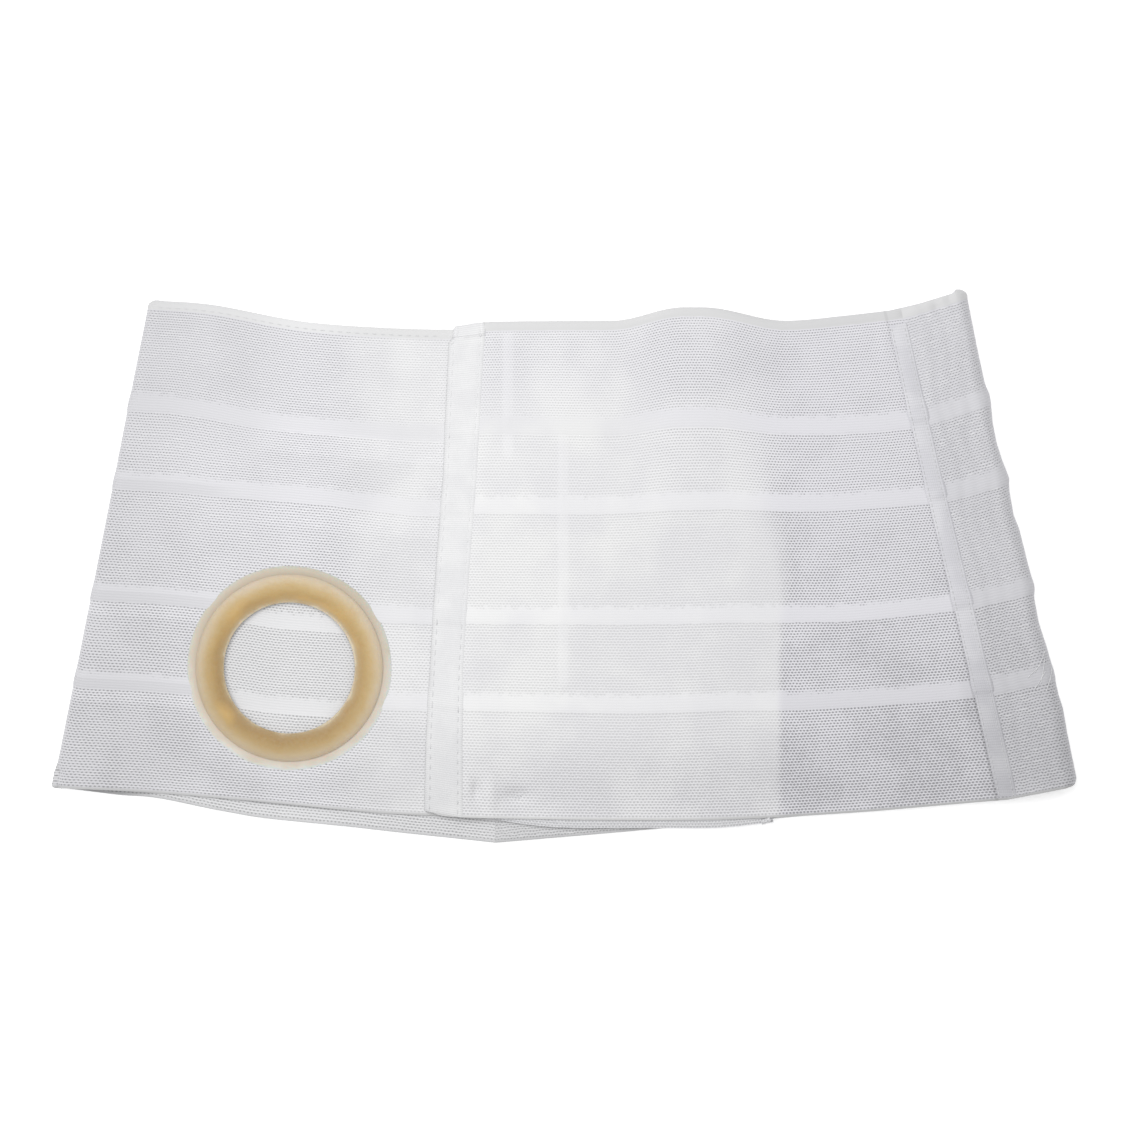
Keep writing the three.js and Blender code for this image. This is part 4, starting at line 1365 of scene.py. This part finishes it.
strip_finish = woven_tape("strip_weave", (0.75, 0.75, 0.755, 1), (0.705, 0.705, 0.715, 1), 1.0, 0.6, 0.97)
tape_finish = woven_tape("seam_weave", (0.68, 0.677, 0.705, 1), (0.615, 0.612, 0.645, 1), 1.25, 0.9, 0.8)
loop_finish, hook_finish = loop_cloth(), hook_tape()
thread_finish = sewing_thread("strip_thread", (0.68, 0.68, 0.69, 1), (0.58, 0.58, 0.59, 1))
hem_thread_finish = sewing_thread("hem_thread", (0.63, 0.63, 0.64, 1), (0.57, 0.57, 0.58, 1))
lit_thread_finish = sewing_thread("lit_thread", (0.755, 0.755, 0.76, 1), (0.70, 0.70, 0.71, 1))
loose_finish = sewing_thread("loose_thread", (0.84, 0.84, 0.85, 1), (0.74, 0.74, 0.75, 1))
for piece, finish in (
    (strip_tape, strip_finish),
    (seam_tape, tape_finish),
    (flap_cloth, loop_finish),
    (hook_face, hook_finish),
    (strip_stitches, thread_finish),
    (strip_stitches_high, lit_thread_finish),
    (seam_stitches, hem_thread_finish),
    (hem_stitches, hem_thread_finish),
    (loose_threads, loose_finish),
):
    piece.data.materials.clear()
    piece.data.materials.append(finish)
print("cloth finishes done")

# %% [markdown]
# ## Soft vinyl
# The ring lets light in and gives it back amber, so it has subsurface scattering under a satin skin. It
# is deeper in colour towards the opening, where the wall is thick, and paler at its outer edge.

# %% Vinyl


def radius_in_ring(tree):
    place = tree.nodes.new("ShaderNodeMapping")
    place.vector_type = "POINT"
    place.inputs["Location"].default_value = (-RING_X * MM, -RING_Y * MM, 0)
    tree.links.new(object_place(tree), place.inputs["Vector"])
    flat = tree.nodes.new("ShaderNodeVectorMath")
    flat.operation = "MULTIPLY"
    flat.inputs[1].default_value = (1, 1, 0)
    tree.links.new(place.outputs["Vector"], flat.inputs[0])
    length = tree.nodes.new("ShaderNodeVectorMath")
    length.operation = "LENGTH"
    tree.links.new(flat.outputs["Vector"], length.inputs[0])
    return calc(tree, "DIVIDE", length.outputs["Value"], MM)


RING_STOPS = [
    (30.4, (0.63, 0.555, 0.43, 1)),
    (31.2, (0.47, 0.37, 0.23, 1)),
    (32.3, (0.425, 0.30, 0.145, 1)),
    (33.8, (0.408, 0.272, 0.109, 1)),
    (35.2, (0.433, 0.293, 0.112, 1)),
    (38.0, (0.487, 0.35, 0.16, 1)),
    (40.7, (0.527, 0.42, 0.266, 1)),
    (43.2, (0.535, 0.45, 0.345, 1)),
]
FLANGE_STOPS = [
    (41.5, (0.545, 0.463, 0.365, 1)),
    (43.6, (0.555, 0.473, 0.385, 1)),
    (45.0, (0.59, 0.525, 0.445, 1)),
    (46.2, (0.645, 0.592, 0.52, 1)),
    (47.2, (0.67, 0.65, 0.62, 1)),
]
# The ring's darker colour towards its lower left is painted shade.
SHADED_WAY, SHADED_TINT = (-0.55, -0.83), (0.78, 0.74, 0.65, 1)
FILM_WAY, FILM_TINT = (-0.1, 0.99), (0.74, 0.71, 0.64, 1)
GLOW = (0.62, 0.40, 0.13, 1)


def tinted_to_one_side(tree, place, colour, way, tint, most=1.0):
    """Multiplies the colour by a tint, more towards one side of the ring: painted shade on the ring, and a darker,
    warmer top on the flange.
    """
    x, y, z = places(tree, place)
    towards_x = calc(tree, "MULTIPLY", calc(tree, "SUBTRACT", x, RING_X), way[0])
    towards_y = calc(tree, "MULTIPLY", calc(tree, "SUBTRACT", y, RING_Y), way[1])
    share = ranged(tree, calc(tree, "ADD", towards_x, towards_y), -42.0, 42.0)
    node = tree.nodes.new("ShaderNodeMix")
    node.data_type = "RGBA"
    node.blend_type = "MULTIPLY"
    feed(tree, node.inputs[0], calc(tree, "MULTIPLY", share, most))
    feed(tree, node.inputs[6], colour)
    feed(tree, node.inputs[7], tint)
    return node.outputs[2]


def ring_vinyl():
    finish, tree, shader = new_finish("ring_vinyl")
    place = object_place(tree)
    radius = radius_in_ring(tree)
    cloudy = noise(tree, place, 70.0, 3.0)
    uneven = calc(tree, "ADD", radius, ranged(tree, cloudy, 0.25, 0.75, -0.8, 0.8))
    colour = ramp(tree, uneven, 30.0, 44.0, RING_STOPS)
    warm = noise(tree, place, 38.0, 1.0)
    in_wall = calc(tree, "MULTIPLY", ranged(tree, radius, 31.5, 33.5), ranged(tree, radius, 40.0, 36.0))
    glow = calc(tree, "MULTIPLY", ranged(tree, warm, 0.52, 0.72, 0.0, 0.5), in_wall)
    colour = tinted_to_one_side(tree, place, colour, SHADED_WAY, SHADED_TINT, ranged(tree, radius, 35.0, 42.0, 1.0, 0.5))
    colour = blend_colours(tree, glow, colour, GLOW)
    tree.links.new(colour, shader.inputs["Base Color"])
    fine = noise(tree, place, 700.0, 2.0)
    lumpy = calc(tree, "ADD", fine, calc(tree, "MULTIPLY", cloudy, 3.0))
    raise_surface(tree, shader, lumpy, 0.0003, 0.3)
    tree.links.new(ranged(tree, fine, 0.3, 0.7, 0.38, 0.55), shader.inputs["Roughness"])
    shader.inputs["Subsurface Weight"].default_value = 0.3
    shader.inputs["Subsurface Radius"].default_value = (1.0, 0.6, 0.3)
    shader.inputs["Subsurface Scale"].default_value = 0.002
    shader.inputs["IOR"].default_value = 1.45
    return finish


def flange_vinyl():
    finish, tree, shader = new_finish("flange_vinyl")
    place = object_place(tree)
    radius = radius_in_ring(tree)
    cloudy = noise(tree, place, 130.0, 3.0)
    uneven = calc(tree, "ADD", radius, ranged(tree, cloudy, 0.25, 0.75, -0.7, 0.7))
    colour = ramp(tree, uneven, 41.0, 48.0, FLANGE_STOPS)
    colour = tinted_to_one_side(tree, place, colour, FILM_WAY, FILM_TINT)
    tree.links.new(colour, shader.inputs["Base Color"])
    raise_surface(tree, shader, cloudy, 0.0002, 0.3)
    tree.links.new(ranged(tree, cloudy, 0.3, 0.7, 0.35, 0.5), shader.inputs["Roughness"])
    shader.inputs["Subsurface Weight"].default_value = 0.2
    shader.inputs["Subsurface Scale"].default_value = 0.002
    return finish


for piece, finish in ((ring_body, ring_vinyl()), (ring_rim, flange_vinyl())):
    piece.data.materials.clear()
    piece.data.materials.append(finish)
print("vinyl done")

# %% [markdown]
# ## Floor and light
# The belt lies on a plain white table. A large soft lamp stands above its upper left, so the bands and
# folds shade on their lower sides and the light falls off to the right, and a white sky fills the rest.

# %% Floor and light
bpy.ops.object.select_all(action="DESELECT")
bpy.ops.mesh.primitive_plane_add(size=6, location=(0, 0, -0.0002))
floor = bpy.context.object
floor.name = "floor"
floor_finish, floor_tree, floor_shader = new_finish("floor")
grain = noise(floor_tree, object_place(floor_tree), 12.0, 2.0)
floor_white = blend_colours(floor_tree, grain, (0.965, 0.965, 0.965, 1), (0.975, 0.975, 0.975, 1))
floor_tree.links.new(floor_white, floor_shader.inputs["Base Color"])
floor_shader.inputs["Roughness"].default_value = 0.8
floor_shader.inputs["Specular IOR Level"].default_value = 0.1
floor_shader.inputs["Emission Color"].default_value = (1, 1, 1, 1)
floor_shader.inputs["Emission Strength"].default_value = 0.4
floor.data.materials.append(floor_finish)

bpy.ops.object.light_add(type="AREA", location=(-0.22, 0.13, 0.72))
lamp = bpy.context.object
lamp.name = "soft_box"
lamp.data.shape = "RECTANGLE"
lamp.data.size, lamp.data.size_y = 0.9, 0.6
lamp.data.energy = 5.3
lamp.rotation_euler = (-math.radians(9), -math.radians(12), 0)

sky = bpy.data.worlds.new("sky")
bpy.context.scene.world = sky
sky.use_nodes = True
sky.node_tree.nodes["Background"].inputs["Color"].default_value = (1.0, 1.0, 1.0, 1)
sky.node_tree.nodes["Background"].inputs["Strength"].default_value = 0.515
bpy.context.scene.view_settings.view_transform = "Standard"
print("lamp:", lamp.data.energy, "W")

# %% [markdown]
# ## Put it together
# Every piece rides on the belt's one body, and the solid it stands for is hidden.

# %% Ride and replace
Dressed = namedtuple("Dressed", "piece node slot")
for dressed in (
    Dressed(left_cloth, "left_panel", "mesh_elastic"),
    Dressed(back_cloth, "back_panel", "mesh_elastic"),
    Dressed(right_cloth, "right_panel", "mesh_elastic"),
    Dressed(flap_cloth, "closure_flap", "loop_cloth"),
    Dressed(hook_face, "hook_patch", "hook_tape"),
    Dressed(strip_tape, "closure_strip", "woven_tape"),
    Dressed(seam_tape, "side_seam_tape", "woven_tape"),
    Dressed(ring_body, "stoma_ring", "ring_vinyl"),
    Dressed(ring_rim, "ring_flange", "flange_vinyl"),
    Dressed(strip_stitches, None, "woven_tape"),
    Dressed(strip_stitches_high, None, "woven_tape"),
    Dressed(seam_stitches, None, "woven_tape"),
    Dressed(hem_stitches, None, "woven_tape"),
    Dressed(loose_threads, None, "woven_tape"),
):
    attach(dressed.piece, "root")
    if dressed.node:
        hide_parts(dressed.node)
